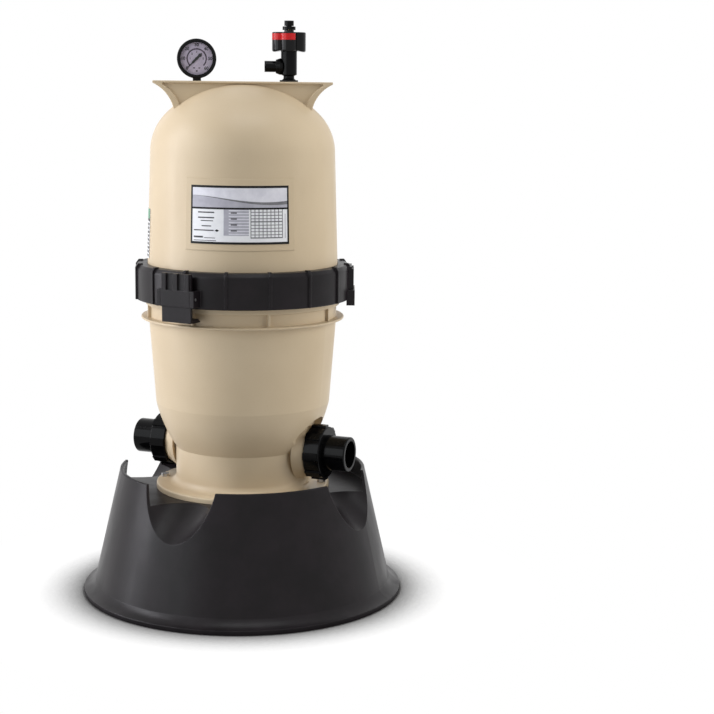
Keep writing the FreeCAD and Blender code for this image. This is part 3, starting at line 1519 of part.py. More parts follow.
makePedestal()
makeFootScrews()
makeTank()
makeDrainPlug()
makeRing()
makeLatch()
makeLid()
makeUnion("inlet", 1)
makeUnion("outlet", -1)
makeManifold()
makeDiffuser()
makeCartridge()
makeAirBleed()
makeGauge()
makeReliefValve()
doc.recompute()

for thing in doc.Objects:
    if "Invalid" in thing.State or "Error" in thing.State:
        raise RuntimeError(f"{thing.Name} ({thing.Label}) failed: {thing.State}")
for part in parts:
    if part.Shape.isNull() or not part.Shape.isValid():
        raise RuntimeError(f"{part.Label} has no valid shape")

os.makedirs("parts", exist_ok=True)
for part in parts:
    part.Shape.exportStep(f"parts/{part.Label}.step")
    print(f"{part.Label}: {len(part.Shape.Solids)} solid, {part.Shape.Volume / 1000:.1f} cm3")
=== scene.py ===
import json
import math

import bmesh
import bpy
from mathutils import Matrix, Vector

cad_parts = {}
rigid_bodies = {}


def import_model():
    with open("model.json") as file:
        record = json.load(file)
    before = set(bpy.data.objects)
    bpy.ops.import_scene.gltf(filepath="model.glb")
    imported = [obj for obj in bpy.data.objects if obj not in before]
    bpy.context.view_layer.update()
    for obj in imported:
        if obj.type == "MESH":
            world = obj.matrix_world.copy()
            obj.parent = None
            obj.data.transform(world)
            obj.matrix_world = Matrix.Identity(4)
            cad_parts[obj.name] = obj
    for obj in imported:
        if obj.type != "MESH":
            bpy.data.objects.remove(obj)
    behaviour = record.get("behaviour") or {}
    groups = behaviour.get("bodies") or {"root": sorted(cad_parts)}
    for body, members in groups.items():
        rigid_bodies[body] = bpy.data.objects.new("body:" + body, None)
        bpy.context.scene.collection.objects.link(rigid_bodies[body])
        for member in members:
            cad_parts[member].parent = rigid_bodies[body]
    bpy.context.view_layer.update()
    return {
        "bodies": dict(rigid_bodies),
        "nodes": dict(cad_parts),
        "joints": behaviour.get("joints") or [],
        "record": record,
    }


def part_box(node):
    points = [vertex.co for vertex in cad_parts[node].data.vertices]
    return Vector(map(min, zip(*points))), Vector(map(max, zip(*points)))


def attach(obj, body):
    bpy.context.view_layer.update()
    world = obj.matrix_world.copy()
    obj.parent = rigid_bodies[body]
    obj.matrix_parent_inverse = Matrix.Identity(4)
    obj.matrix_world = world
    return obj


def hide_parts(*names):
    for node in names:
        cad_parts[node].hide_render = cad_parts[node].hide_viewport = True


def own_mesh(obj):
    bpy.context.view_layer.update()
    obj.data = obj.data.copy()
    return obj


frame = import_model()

nodes = frame["nodes"]
mm = 0.001
print("frame loaded with", len(nodes), "nodes")


# helpers for shader nodes

def newMaterial(name):
    material = bpy.data.materials.new(name)
    material.use_nodes = True
    tree = material.node_tree
    return material, tree, tree.nodes["Principled BSDF"]


def addNode(tree, kind, inputs=None, **settings):
    node = tree.nodes.new("ShaderNode" + kind)
    for name, value in settings.items():
        setattr(node, name, value)
    fill(tree, node, inputs or {})
    return node


def fill(tree, node, inputs):
    for name, value in inputs.items():
        if isinstance(value, bpy.types.NodeSocket):
            tree.links.new(value, node.inputs[name])
        else:
            node.inputs[name].default_value = value


def calc(tree, operation, first, second):
    return addNode(tree, "Math", {0: first, 1: second}, operation=operation).outputs[0]


def spread(tree, value, fromLow, fromHigh, toLow, toHigh):
    node = addNode(tree, "MapRange", {
        "Value": value, "From Min": fromLow, "From Max": fromHigh,
        "To Min": toLow, "To Max": toHigh})
    return node.outputs["Result"]


def blendColours(tree, share, first, second):
    node = addNode(tree, "Mix", data_type="RGBA")
    fill(tree, node, {0: share, 6: first, 7: second})
    return node.outputs[2]


def place(tree, scale=(1, 1, 1)):
    # the piece's own coordinates in metres, stretched along an axis if asked
    coords = addNode(tree, "TexCoord").outputs["Object"]
    return addNode(tree, "Mapping", {"Vector": coords, "Scale": scale}).outputs["Vector"]


def cloud(tree, where, scale, detail, rough=0.5):
    node = addNode(tree, "TexNoise", {
        "Vector": where, "Scale": scale, "Detail": detail, "Roughness": rough})
    return node.outputs["Fac"]


def softEdges(tree, radius):
    # rounds the look of sharp edges, and tells where the edges are
    rounded = addNode(tree, "Bevel", {"Radius": radius}, samples=4).outputs["Normal"]
    straight = addNode(tree, "NewGeometry").outputs["Normal"]
    same = addNode(tree, "VectorMath", {0: rounded, 1: straight}, operation="DOT_PRODUCT")
    edge = spread(tree, same.outputs["Value"], 0.99, 0.75, 0.0, 1.0)
    return rounded, edge


def relief(tree, shader, height, strength, distance, normal=None):
    inputs = {"Height": height, "Strength": strength, "Distance": distance}
    if normal is not None:
        inputs["Normal"] = normal
    bump = addNode(tree, "Bump", inputs)
    fill(tree, shader, {"Normal": bump.outputs["Normal"]})


# finishes

tanPlastic = {
    "light": (0.614, 0.494, 0.338, 1), "deep": (0.574, 0.456, 0.306, 1),
    "speck": (0.45, 0.34, 0.20, 1), "paleEdge": (0.76, 0.66, 0.48, 1),
    "gloss": (0.34, 0.47), "shine": 0.32, "edge": 1.6 * mm, "peel": 0.05 * mm,
}


def tanMoulding():
    look = tanPlastic
    material, tree, shader = newMaterial("tanMoulding")
    here = place(tree)
    drift = cloud(tree, here, 7, 3)
    body = blendColours(tree, spread(tree, drift, 0.35, 0.65, 0, 1), look["deep"], look["light"])
    specks = spread(tree, cloud(tree, here, 900, 1), 0.66, 0.74, 0, 0.35)
    body = blendColours(tree, specks, body, look["speck"])
    rounded, edge = softEdges(tree, look["edge"])
    rubbed = calc(tree, "MULTIPLY", edge, spread(tree, cloud(tree, here, 45, 3), 0.4, 0.7, 0.15, 0.6))
    body = blendColours(tree, rubbed, body, look["paleEdge"])
    flow = cloud(tree, place(tree, (30, 30, 3)), 1, 4)
    fill(tree, shader, {
        "Base Color": body,
        "Roughness": spread(tree, flow, 0.3, 0.7, *look["gloss"]),
        "Specular IOR Level": look["shine"],
    })
    peel = cloud(tree, here, 240, 3, 0.6)
    relief(tree, shader, peel, 0.35, look["peel"], rounded)
    return material


blackPlastics = {
    # the stand and the locking ring, satin with a leathery grain; their pale edges are edge wear and a
    # painted highlight
    "blackMoulding": {
        "dark": (0.0042, 0.0030, 0.0038, 1), "pale": (0.0095, 0.0068, 0.0086, 1),
        "paleEdge": (0.085, 0.073, 0.082, 1), "gloss": (0.30, 0.41), "edge": 2.4 * mm,
        "grain": 420, "depth": 0.05 * mm, "shine": 0.19},
    # unions, valve and plug, glossier and smoother
    "blackFitting": {
        "dark": (0.0016, 0.0016, 0.0018, 1), "pale": (0.0045, 0.0044, 0.0048, 1),
        "paleEdge": (0.016, 0.015, 0.016, 1), "gloss": (0.10, 0.20), "edge": 1.0 * mm,
        "grain": 700, "depth": 0.01 * mm, "shine": 0.09},
    # the relief valve's knob, polished
    "blackKnob": {
        "dark": (0.0014, 0.0014, 0.0016, 1), "pale": (0.0035, 0.0034, 0.0038, 1),
        "paleEdge": (0.012, 0.012, 0.013, 1), "gloss": (0.10, 0.18), "edge": 1.0 * mm,
        "grain": 700, "depth": 0.005 * mm, "shine": 0.18},
    # painted gauge case and bezel
    "blackMetal": {
        "dark": (0.0016, 0.0016, 0.0018, 1), "pale": (0.0040, 0.0040, 0.0044, 1),
        "paleEdge": (0.03, 0.03, 0.032, 1), "gloss": (0.12, 0.24), "edge": 0.6 * mm,
        "grain": 1300, "depth": 0.012 * mm, "shine": 0.13},
    # seals and gasket
    "blackRubber": {
        "dark": (0.008, 0.008, 0.008, 1), "pale": (0.015, 0.0145, 0.014, 1),
        "paleEdge": (0.030, 0.029, 0.028, 1), "gloss": (0.55, 0.72), "edge": 0.4 * mm,
        "grain": 900, "depth": 0.03 * mm, "shine": 0.15},
}


def blackPlastic(name):
    look = blackPlastics[name]
    material, tree, shader = newMaterial(name)
    here = place(tree)
    patches = spread(tree, cloud(tree, here, 16, 4, 0.6), 0.35, 0.68, 0, 1)
    body = blendColours(tree, patches, look["dark"], look["pale"])
    rounded, edge = softEdges(tree, look["edge"])
    # paler edges: scuffs, and on the stand and ring also a painted highlight along the edges
    scuffsAndSheen = spread(tree, cloud(tree, here, 70, 4, 0.65), 0.45, 0.75, 0.05, 0.55)
    body = blendColours(tree, calc(tree, "MULTIPLY", edge, scuffsAndSheen), body, look["paleEdge"])
    rubs = cloud(tree, place(tree, (9, 9, 2)), 3, 5, 0.6)
    fill(tree, shader, {
        "Base Color": body,
        "Roughness": spread(tree, rubs, 0.32, 0.68, *look["gloss"]),
        "Specular IOR Level": look["shine"],
    })
    grain = addNode(tree, "TexVoronoi", {"Vector": here, "Scale": look["grain"]})
    fine = cloud(tree, here, look["grain"] * 2.2, 2)
    height = calc(tree, "ADD", grain.outputs["Distance"], fine)
    relief(tree, shader, height, 0.4, look["depth"], rounded)
    return material


metals = {
    "stainless": {"light": (0.60, 0.60, 0.61, 1), "dull": (0.40, 0.39, 0.38, 1), "gloss": (0.22, 0.42)},
    "brass": {"light": (0.72, 0.53, 0.23, 1), "dull": (0.46, 0.31, 0.13, 1), "gloss": (0.25, 0.5)},
}


def bareMetal(name):
    look = metals[name]
    material, tree, shader = newMaterial(name)
    here = place(tree)
    tarnish = spread(tree, cloud(tree, here, 90, 4, 0.6), 0.4, 0.7, 0, 1)
    brushed = cloud(tree, place(tree, (1, 1, 0.05)), 2600, 1)
    rounded, _ = softEdges(tree, 0.5 * mm)
    fill(tree, shader, {
        "Base Color": blendColours(tree, tarnish, look["light"], look["dull"]),
        "Roughness": spread(tree, brushed, 0.3, 0.7, *look["gloss"]),
        "Metallic": 1.0,
    })
    relief(tree, shader, brushed, 0.3, 0.01 * mm, rounded)
    return material


whitePlastics = {
    "cartridgeWhite": {"light": (0.80, 0.81, 0.80, 1), "deep": (0.72, 0.73, 0.72, 1), "gloss": (0.35, 0.5)},
    "internalWhite": {"light": (0.76, 0.76, 0.73, 1), "deep": (0.68, 0.68, 0.65, 1), "gloss": (0.3, 0.45)},
}


def whitePlastic(name):
    look = whitePlastics[name]
    material, tree, shader = newMaterial(name)
    here = place(tree)
    drift = spread(tree, cloud(tree, here, 12, 3), 0.35, 0.65, 0, 1)
    rounded, _ = softEdges(tree, 0.8 * mm)
    fill(tree, shader, {
        "Base Color": blendColours(tree, drift, look["deep"], look["light"]),
        "Roughness": spread(tree, cloud(tree, here, 30, 3), 0.3, 0.7, *look["gloss"]),
    })
    relief(tree, shader, cloud(tree, here, 300, 2), 0.3, 0.04 * mm, rounded)
    return material


fleece = {
    "deep": (0.80, 0.80, 0.77, 1), "light": (0.90, 0.90, 0.88, 1), "gloss": (0.85, 0.98),
    "sheen": 0.25, "threads": 1500, "depth": 0.15 * mm,
}


def filterSheet():
    # spunbonded polyester: matted threads with a soft, cloudy white
    look = fleece
    material, tree, shader = newMaterial("filterSheet")
    here = place(tree)
    threads = addNode(tree, "TexVoronoi", {
        "Vector": place(tree, (1, 1, 0.25)), "Scale": look["threads"]}, feature="DISTANCE_TO_EDGE")
    clumps = cloud(tree, here, 160, 4, 0.65)
    fill(tree, shader, {
        "Base Color": blendColours(
            tree, spread(tree, clumps, 0.35, 0.7, 0, 1), look["deep"], look["light"]),
        "Roughness": spread(tree, clumps, 0.3, 0.7, *look["gloss"]),
        "Sheen Weight": look["sheen"],
    })
    height = calc(tree, "ADD", threads.outputs["Distance"], clumps)
    relief(tree, shader, height, 0.6, look["depth"])
    return material


prints = {
    "dialFace": {"low": (0.74, 0.64, 0.78, 1), "high": (0.84, 0.74, 0.88, 1), "gloss": (0.30, 0.42)},
    "dialInk": {"low": (0.006, 0.004, 0.009, 1), "high": (0.014, 0.010, 0.02, 1), "gloss": (0.5, 0.65)},
    "dialMauve": {"low": (0.05, 0.03, 0.06, 1), "high": (0.09, 0.055, 0.10, 1), "gloss": (0.5, 0.65)},
    "pointerBlack": {
        "low": (0.003, 0.003, 0.003, 1), "high": (0.006, 0.006, 0.007, 1), "gloss": (0.4, 0.55)},
    "labelFilm": {"low": (0.84, 0.84, 0.87, 1), "high": (0.90, 0.90, 0.92, 1), "gloss": (0.20, 0.32)},
    "labelSilver": {"low": (0.70, 0.69, 0.76, 1), "high": (0.82, 0.81, 0.87, 1), "gloss": (0.18, 0.30)},
    "labelSteel": {"low": (0.16, 0.16, 0.172, 1), "high": (0.23, 0.23, 0.24, 1), "gloss": (0.18, 0.30)},
    "labelGrey": {"low": (0.42, 0.41, 0.47, 1), "high": (0.50, 0.49, 0.55, 1), "gloss": (0.2, 0.32)},
    "labelInk": {"low": (0.003, 0.003, 0.003, 1), "high": (0.006, 0.006, 0.006, 1), "gloss": (0.3, 0.42)},
    "labelRule": {"low": (0.05, 0.05, 0.055, 1), "high": (0.09, 0.09, 0.095, 1), "gloss": (0.3, 0.42)},
    "labelGreen": {"low": (0.035, 0.24, 0.11, 1), "high": (0.05, 0.30, 0.15, 1), "gloss": (0.2, 0.34)},
    "bandRed": {"low": (0.50, 0.010, 0.012, 1), "high": (0.62, 0.016, 0.018, 1), "gloss": (0.12, 0.22)},
}


def printedFilm(name):
    look = prints[name]
    material, tree, shader = newMaterial(name)
    here = place(tree)
    uneven = spread(tree, cloud(tree, here, 55, 4, 0.6), 0.35, 0.68, 0, 1)
    fill(tree, shader, {
        "Base Color": blendColours(tree, uneven, look["low"], look["high"]),
        "Roughness": spread(tree, cloud(tree, here, 120, 3), 0.3, 0.7, *look["gloss"]),
        "Specular IOR Level": 0.2,
    })
    relief(tree, shader, cloud(tree, here, 600, 2), 0.2, 0.01 * mm)
    return material


window = {
    "tint": (0.9, 0.92, 0.93, 1), "through": (0.985, 0.985, 0.99, 1), "gloss": (0.02, 0.09),
    "mirror": (0.015, 0.7),   # how much it mirrors, seen straight on and at a slant
}


def clearLens():
    # thin polished window: sees through, and mirrors a little at a slant
    look = window
    material, tree, shader = newMaterial("clearLens")
    haze = cloud(tree, place(tree), 140, 4, 0.6)
    fill(tree, shader, {
        "Base Color": look["tint"],
        "Roughness": spread(tree, haze, 0.35, 0.75, *look["gloss"]),
    })
    through = addNode(tree, "BsdfTransparent", {"Color": look["through"]})
    slant = addNode(tree, "LayerWeight", {"Blend": 0.2}).outputs["Fresnel"]
    share = spread(tree, slant, 0.0, 1.0, *look["mirror"])
    both = addNode(tree, "MixShader", {
        0: share, 1: through.outputs[0], 2: shader.outputs[0]})
    fill(tree, tree.nodes["Material Output"], {"Surface": both.outputs[0]})
    return material


finishes = {"tanMoulding": tanMoulding(), "filterSheet": filterSheet(), "clearLens": clearLens()}
for name in blackPlastics:
    finishes[name] = blackPlastic(name)
for name in metals:
    finishes[name] = bareMetal(name)
for name in whitePlastics:
    finishes[name] = whitePlastic(name)
for name in prints:
    finishes[name] = printedFilm(name)

# the record's material slot, and the finish that a CAD node of it wears
slotFinish = {
    "tan_moulding": "tanMoulding", "black_moulding": "blackMoulding",
    "black_fitting": "blackFitting", "black_metal": "blackMetal",
    "black_rubber": "blackRubber", "stainless": "stainless", "brass": "brass",
    "dial_white": "dialFace", "pointer_black": "pointerBlack", "lens_clear": "clearLens",
    "label_silver": "labelFilm", "band_red": "bandRed", "filter_sheet": "filterSheet",
    "cartridge_white": "cartridgeWhite", "internal_white": "internalWhite",
}


def dress(piece, finishName):
    piece.data.materials.clear()
    piece.data.materials.append(finishes[finishName])


for row in frame["record"]["subparts"]:
    dress(nodes[row["node"]], slotFinish[row["material_slot"]])
print("finishes made and CAD nodes dressed")


# helpers for own pieces

def newPiece(name, mesh, body, slotName, *finishNames):
    # mesh is a bmesh; it becomes a named piece that rides on a body
    data = bpy.data.meshes.new(name)
    for finishName in finishNames:
        data.materials.append(finishes[finishName])
    bmesh.ops.recalc_face_normals(mesh, faces=mesh.faces)
    mesh.to_mesh(data)
    mesh.free()
    piece = bpy.data.objects.new(name, data)
    bpy.context.scene.collection.objects.link(piece)
    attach(piece, body)
    return piece


def smoothByAngle(piece, angle=50):
    flags = [True] * len(piece.data.polygons)
    piece.data.polygons.foreach_set("use_smooth", flags)
    mesh = bmesh.new()
    mesh.from_mesh(piece.data)
    for edge in mesh.edges:
        edge.smooth = len(edge.link_faces) == 2 and edge.calc_face_angle() < math.radians(angle)
    mesh.to_mesh(piece.data)
    mesh.free()


def closedPrism(mesh, ring, lift, home, finish=0):
    # a flat ring of points pushed along its normal by lift, closed on all sides
    low = [mesh.verts.new(home @ Vector((x, y, z))) for x, y, z in ring]
    high = [mesh.verts.new(home @ Vector((x, y, z + lift))) for x, y, z in ring]
    made = [mesh.faces.new(list(reversed(low))), mesh.faces.new(high)]
    for index in range(len(ring)):
        after = (index + 1) % len(ring)
        made.append(mesh.faces.new((low[index], low[after], high[after], high[index])))
    for face in made:
        face.material_index = finish


def sweptSolid(mesh, rows, finish=0):
    # rows of corners joined one to the next, closed at both ends
    made = [mesh.faces.new(rows[0]), mesh.faces.new(list(reversed(rows[-1])))]
    corners = len(rows[0])
    for here, there in zip(rows, rows[1:]):
        for index in range(corners):
            after = (index + 1) % corners
            made.append(mesh.faces.new((here[index], here[after], there[after], there[index])))
    for face in made:
        face.material_index = finish


def turnedShape(mesh, profile, steps, home, wobble):
    # a closed (radius, height) outline turned about Z; wobble(angle, radius) moves a radius
    rings = []
    for step in range(steps):
        angle = 2 * math.pi * step / steps
        ring = []
        for radius, height in profile:
            reach = wobble(angle, radius)
            spot = Vector((reach * math.cos(angle), reach * math.sin(angle), height))
            ring.append(mesh.verts.new(home @ spot))
        rings.append(ring)
    for step in range(steps):
        here, there = rings[step], rings[(step + 1) % steps]
        for index in range(len(profile)):
            after = (index + 1) % len(profile)
            mesh.faces.new((here[index], there[index], there[after], here[after]))


# the lid's own directions: front is where the gauge and the front label look

def middleOf(name):
    low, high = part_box(name)
    return (low + high) / 2


alongSaddle = (middleOf("relief_valve_body") - middleOf("gauge_stem"))
alongSaddle.z = 0
alongSaddle.normalize()
lidFront = Vector((alongSaddle.y, -alongSaddle.x, 0))


# labels: thin films wrapped round the lid, with a plain frame, a table and no words

def wrapOf(name):
    # the cone that a label lies on, measured on the label itself
    spots = [vertex.co for vertex in nodes[name].data.vertices]
    low = min(spot.z for spot in spots)
    high = max(spot.z for spot in spots)
    near = (high - low) * 0.01
    angles = [math.atan2(spot.y, spot.x) for spot in spots]
    return {
        "low": low, "high": high, "start": min(angles), "end": max(angles),
        "footRadius": max(math.hypot(spot.x, spot.y) for spot in spots if spot.z < low + near),
        "topRadius": max(math.hypot(spot.x, spot.y) for spot in spots if spot.z > high - near),
    }


def wrapSpot(wrap, across, up, lift):
    # across and up run from 0 to 1 over the label, lift is off its face
    angle = wrap["start"] + (wrap["end"] - wrap["start"]) * across
    height = wrap["low"] + (wrap["high"] - wrap["low"]) * up
    radius = wrap["footRadius"] + (wrap["topRadius"] - wrap["footRadius"]) * up + lift
    return Vector((radius * math.cos(angle), radius * math.sin(angle), height))


printSink = 0.02 * mm   # how far a print reaches into its film
printSteps = 36         # steps over the whole width of a label


def wrapPatch(mesh, wrap, left, right, lowLine, highLine, lift, finish):
    # a closed thin patch between two lines; a line is a number or a function of across
    lowAt = lowLine if callable(lowLine) else lambda across: lowLine
    highAt = highLine if callable(highLine) else lambda across: highLine
    steps = max(2, round((right - left) * printSteps))
    rows = []
    for index in range(steps + 1):
        across = left + (right - left) * index / steps
        low, high = lowAt(across), highAt(across)
        rows.append([
            mesh.verts.new(wrapSpot(wrap, across, up, height))
            for up, height in ((low, -printSink), (high, -printSink), (high, lift), (low, lift))])
    sweptSolid(mesh, rows, finish)


frontLabel = {
    "side": 0.018, "top": 0.040, "head": 0.628, "divider": 0.032,
    # how far each layer stands off the film, in mm
    "lifts": {"field": 0.03, "column": 0.04, "line": 0.05, "row": 0.06,
              "sweep": 0.07, "mark": 0.08, "divider": 0.10, "frame": 0.12},
    "greyLeft": 0.345, "greyRight": 0.592, "greyFoot": 0.15, "greyTop": 0.605, "greyRows": 9,
    "rowInset": 0.05, "rowUp": 0.35, "rowThick": 0.3,
    "markLeft": 0.07, "markRight": 0.13, "markFoot": 0.1, "markTop": 0.55,
    "tableLeft": 0.607, "tableRight": 0.925, "tableFoot": 0.105, "tableTop": 0.60,
    "columns": 8, "rows": 9, "rule": 0.0075, "boldRows": (0, 5, 9), "boldRule": 0.020, "thinRule": 0.013,
    "barLeft": 0.955, "barRight": 0.962, "barDrop": 0.08,
    # the header's soft curve
    "sweepMiddle": 0.775, "sweepSwing": 0.055, "sweepThick": 0.06, "sweepWaves": 1.3,
    # plain rules in place of words: left, right, height, thickness
    "lines": ((0.08, 0.25, 0.530, 0.022), (0.08, 0.25, 0.440, 0.022), (0.11, 0.24, 0.390, 0.016),
              (0.12, 0.22, 0.300, 0.018), (0.035, 0.245, 0.225, 0.020),
              (0.035, 0.135, 0.105, 0.030), (0.145, 0.26, 0.10, 0.012), (0.035, 0.27, 0.055, 0.012)),
    "lensLeft": 0.255, "lensRight": 0.300, "lensMiddle": 0.232, "lensRate": 69.8,
    "lensBelow": 0.022, "lensAbove": 0.024,
}


def makeFrontLabel():
    look = frontLabel
    wrap = wrapOf("front_label")
    finishNames = ("labelInk", "labelSilver", "labelSteel", "labelGrey", "labelRule")
    ink, silver, steel, grey, rule = range(len(finishNames))
    mesh = bmesh.new()
    side, top, head = look["side"], look["top"], look["head"]

    def patch(left, right, low, high, layer, finish):
        wrapPatch(mesh, wrap, left, right, low, high, look["lifts"][layer] * mm, finish)

    def curve(across):
        return look["sweepMiddle"] + look["sweepSwing"] * math.cos(math.pi * look["sweepWaves"] * across)

    def lens(across):
        return math.sin((across - look["lensLeft"]) * look["lensRate"])

    # black frame and divider
    patch(0, side, 0, 1, "frame", ink)
    patch(1 - side, 1, 0, 1, "frame", ink)
    patch(side, 1 - side, 0, top, "frame", ink)
    patch(side, 1 - side, 1 - top, 1, "frame", ink)
    patch(side, 1 - side, head - look["divider"], head, "divider", ink)
    # header: a grey sweep under a bright field
    patch(side, 1 - side, head, 1 - top, "field", silver)
    patch(side, 1 - side, head, curve, "line", grey)
    patch(side, 1 - side, lambda across: curve(across) - look["sweepThick"] * across, curve, "sweep", steel)
    # grey column with paler rows
    patch(look["greyLeft"], look["greyRight"], look["greyFoot"], look["greyTop"], "column", grey)
    pitch = (look["greyTop"] - look["greyFoot"]) / look["greyRows"]
    for row in range(look["greyRows"]):
        low = look["greyFoot"] + pitch * (row + look["rowUp"])
        patch(look["greyLeft"] + look["rowInset"], look["greyRight"],
              low, low + pitch * look["rowThick"], "row", silver)
        if row % 2:
            patch(look["greyLeft"] + look["markLeft"], look["greyLeft"] + look["markRight"],
                  low + pitch * look["markFoot"], low + pitch * look["markTop"], "mark", rule)
    # empty table
    width = look["tableRight"] - look["tableLeft"]
    height = look["tableTop"] - look["tableFoot"]
    for column in range(look["columns"] + 1):
        left = look["tableLeft"] + width * column / look["columns"]
        patch(left, left + look["rule"], look["tableFoot"], look["tableTop"], "line", steel)
    for row in range(look["rows"] + 1):
        low = look["tableFoot"] + height * row / look["rows"]
        thick = look["boldRule"] if row in look["boldRows"] else look["thinRule"]
        patch(look["tableLeft"], look["tableRight"] + look["rule"], low, low + thick, "row", steel)
    patch(look["barLeft"], look["barRight"], look["tableFoot"], look["tableTop"] - look["barDrop"],
          "line", grey)
    # plain rules and a small lens-shaped mark on the left
    for left, right, low, thick in look["lines"]:
        patch(left, right, low, low + thick, "line", rule)
    patch(look["lensLeft"], look["lensRight"],
          lambda across: look["lensMiddle"] - look["lensBelow"] * lens(across),
          lambda across: look["lensMiddle"] + look["lensAbove"] * lens(across), "sweep", ink)
    newPiece("frontLabelPrint", mesh, "lid", "label_silver", *finishNames)


sideLabel = {
    "frame": 0.03, "greenTop": 0.80, "under": 0.05, "barRoom": 0.09, "bars": 9, "barSide": 0.08,
    "barShare": 0.62, "frameLift": 0.10 * mm, "headLift": 0.12 * mm, "barLift": 0.08 * mm,
}


def makeSideLabel():
    look = sideLabel
    wrap = wrapOf("side_label")
    finishNames = ("labelInk", "labelGreen")
    ink, green = range(len(finishNames))
    frame, top = look["frame"], look["greenTop"]
    mesh = bmesh.new()
    for left, right in ((0, frame), (1 - frame, 1)):
        wrapPatch(mesh, wrap, left, right, 0, 1, look["frameLift"], ink)
    wrapPatch(mesh, wrap, frame, 1 - frame, top, 1, look["headLift"], green)
    wrapPatch(mesh, wrap, frame, 1 - frame, top - look["under"], top, look["headLift"], ink)
    pitch = (top - look["barRoom"]) / look["bars"]
    for row in range(look["bars"]):
        low = frame + row * pitch
        high = low + pitch * look["barShare"]
        wrapPatch(mesh, wrap, look["barSide"], 1 - look["barSide"], low, high, look["barLift"], ink)
    newPiece("sideLabelPrint", mesh, "lid", "label_silver", *finishNames)


makeFrontLabel()
makeSideLabel()
print("labels made")


# gauge: printed dial with numbers and a tapered pointer with a counterweight

dialPrint = {
    "zero": 225, "sweep": 270, "numbers": 7, "minor": 5,
    "outerTick": 0.92, "majorTick": 0.05, "minorTick": 0.03, "numberRing": 0.775,
    "majorHalf": 0.009, "minorHalf": 0.005, "ink": 0.06 * mm,
    "arcRing": 0.545, "arcWidth": 0.075, "arcSteps": 54, "toothEvery": 9, "tooth": 1.25,
    "numberSize": 0.25, "innerSize": 0.15, "innerRing": 0.375, "bold": 0.035,
    # plain marks under the hub, in place of words: across, up, width, height
    "marks": ((-0.15, -0.56, 0.11, 0.06), (0.15, -0.56, 0.11, 0.06), (0, -0.74, 0.09, 0.08)),
}


def dialFrame():
    # Z towards the viewer of the dial, Y up, origin on the dial's face
    low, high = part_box("gauge_dial")
    centre = (low + high) / 2
    radius = (high.z - low.z) / 2
    spots = [vertex.co - centre for vertex in nodes["gauge_dial"].data.vertices]
    face = max(spot.dot(lidFront) for spot in spots)
    up = Vector((0, 0, 1))
    turn = Matrix((alongSaddle, up, lidFront)).transposed().to_4x4()
    return Matrix.Translation(centre + lidFront * face) @ turn, radius


def dialAngle(share):
    return math.radians(dialPrint["zero"] - dialPrint["sweep"] * share)


def makeDial():
    look = dialPrint
    home, radius = dialFrame()
    mesh = bmesh.new()
    count = (look["numbers"] - 1) * look["minor"]
    for index in range(count + 1):
        angle = dialAngle(index / count)
        major = index % look["minor"] == 0
        length = look["majorTick"] if major else look["minorTick"]
        half = look["majorHalf"] if major else look["minorHalf"]
        out = Vector((math.cos(angle), math.sin(angle), 0))
        side = Vector((-out.y, out.x, 0)) * half
        inner, outer = out * (look["outerTick"] - length), out * look["outerTick"]
        ring = [inner - side, outer - side, outer + side, inner + side]
        closedPrism(mesh, [spot * radius for spot in ring], look["ink"], home)
    # inner scale: a bold arc with short teeth
    steps = look["arcSteps"]
    inside = look["arcRing"] - look["arcWidth"] / 2
    for index in range(steps):
        first, second = dialAngle(index / steps), dialAngle((index + 1) / steps)
        tooth = look["tooth"] if index % look["toothEvery"] == 0 else 1
        reach = inside + look["arcWidth"] * tooth
        ring = [
            (math.cos(angle) * out * radius, math.sin(angle) * out * radius, 0)
            for angle, out in ((first, inside), (first, reach), (second, reach), (second, inside))]
        closedPrism(mesh, ring, look["ink"], home, finish=1)
    for across, up, width, height in look["marks"]:
        ring = [(across - width / 2, up), (across + width / 2, up),
                (across + width / 2, up + height), (across - width / 2, up + height)]
        closedPrism(mesh, [(x * radius, y * radius, 0) for x, y in ring], look["ink"], home)
    newPiece("dialScale", mesh, "lid", "dial_white", "dialInk", "dialMauve")
    for index in range(look["numbers"]):
        share = index / (look["numbers"] - 1)
        dialNumber(f"dialNumber{index}", str(index * 10), share, look["numberRing"],
                   look["numberSize"], home, radius)
        if 0 < index < look["numbers"] - 1:
            dialNumber(f"dialInner{index}", str(index), share, look["innerRing"],
                       look["innerSize"], home, radius)


def dialNumber(name, words, share, ring, size, home, radius):
    curve = bpy.data.curves.new(name, "FONT")
    curve.body = words
    curve.align_x, curve.align_y = "CENTER", "CENTER"
    curve.size = size * radius
    curve.offset = size * radius * dialPrint["bold"]
    curve.extrude = dialPrint["ink"] / 2
    curve.resolution_u = 3
    piece = bpy.data.objects.new(name, curve)
    bpy.context.scene.collection.objects.link(piece)
    angle = dialAngle(share)
    spot = Vector((math.cos(angle), math.sin(angle), 0)) * ring * radius
    spot.z = dialPrint["ink"] / 2
    piece.matrix_world = home @ Matrix.Translation(spot)
    dress(piece, "dialInk")
    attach(piece, "lid")


pointer = {
    "tip": 0.74, "tipWidth": 0.022, "waist": 0.36, "waistWidth": 0.035, "body": 0.066,
    "shoulder": 0.04, "point": 0.03, "tail": 0.27, "bob": 0.10, "hub": 0.085, "roundSteps": 32,
    "low": 0.75 * mm, "thick": 0.45 * mm, "bobProud": 0.02 * mm,
    "hubFoot": 0.35 * mm, "hubTop": 1.6 * mm, "edge": 0.08 * mm,
}


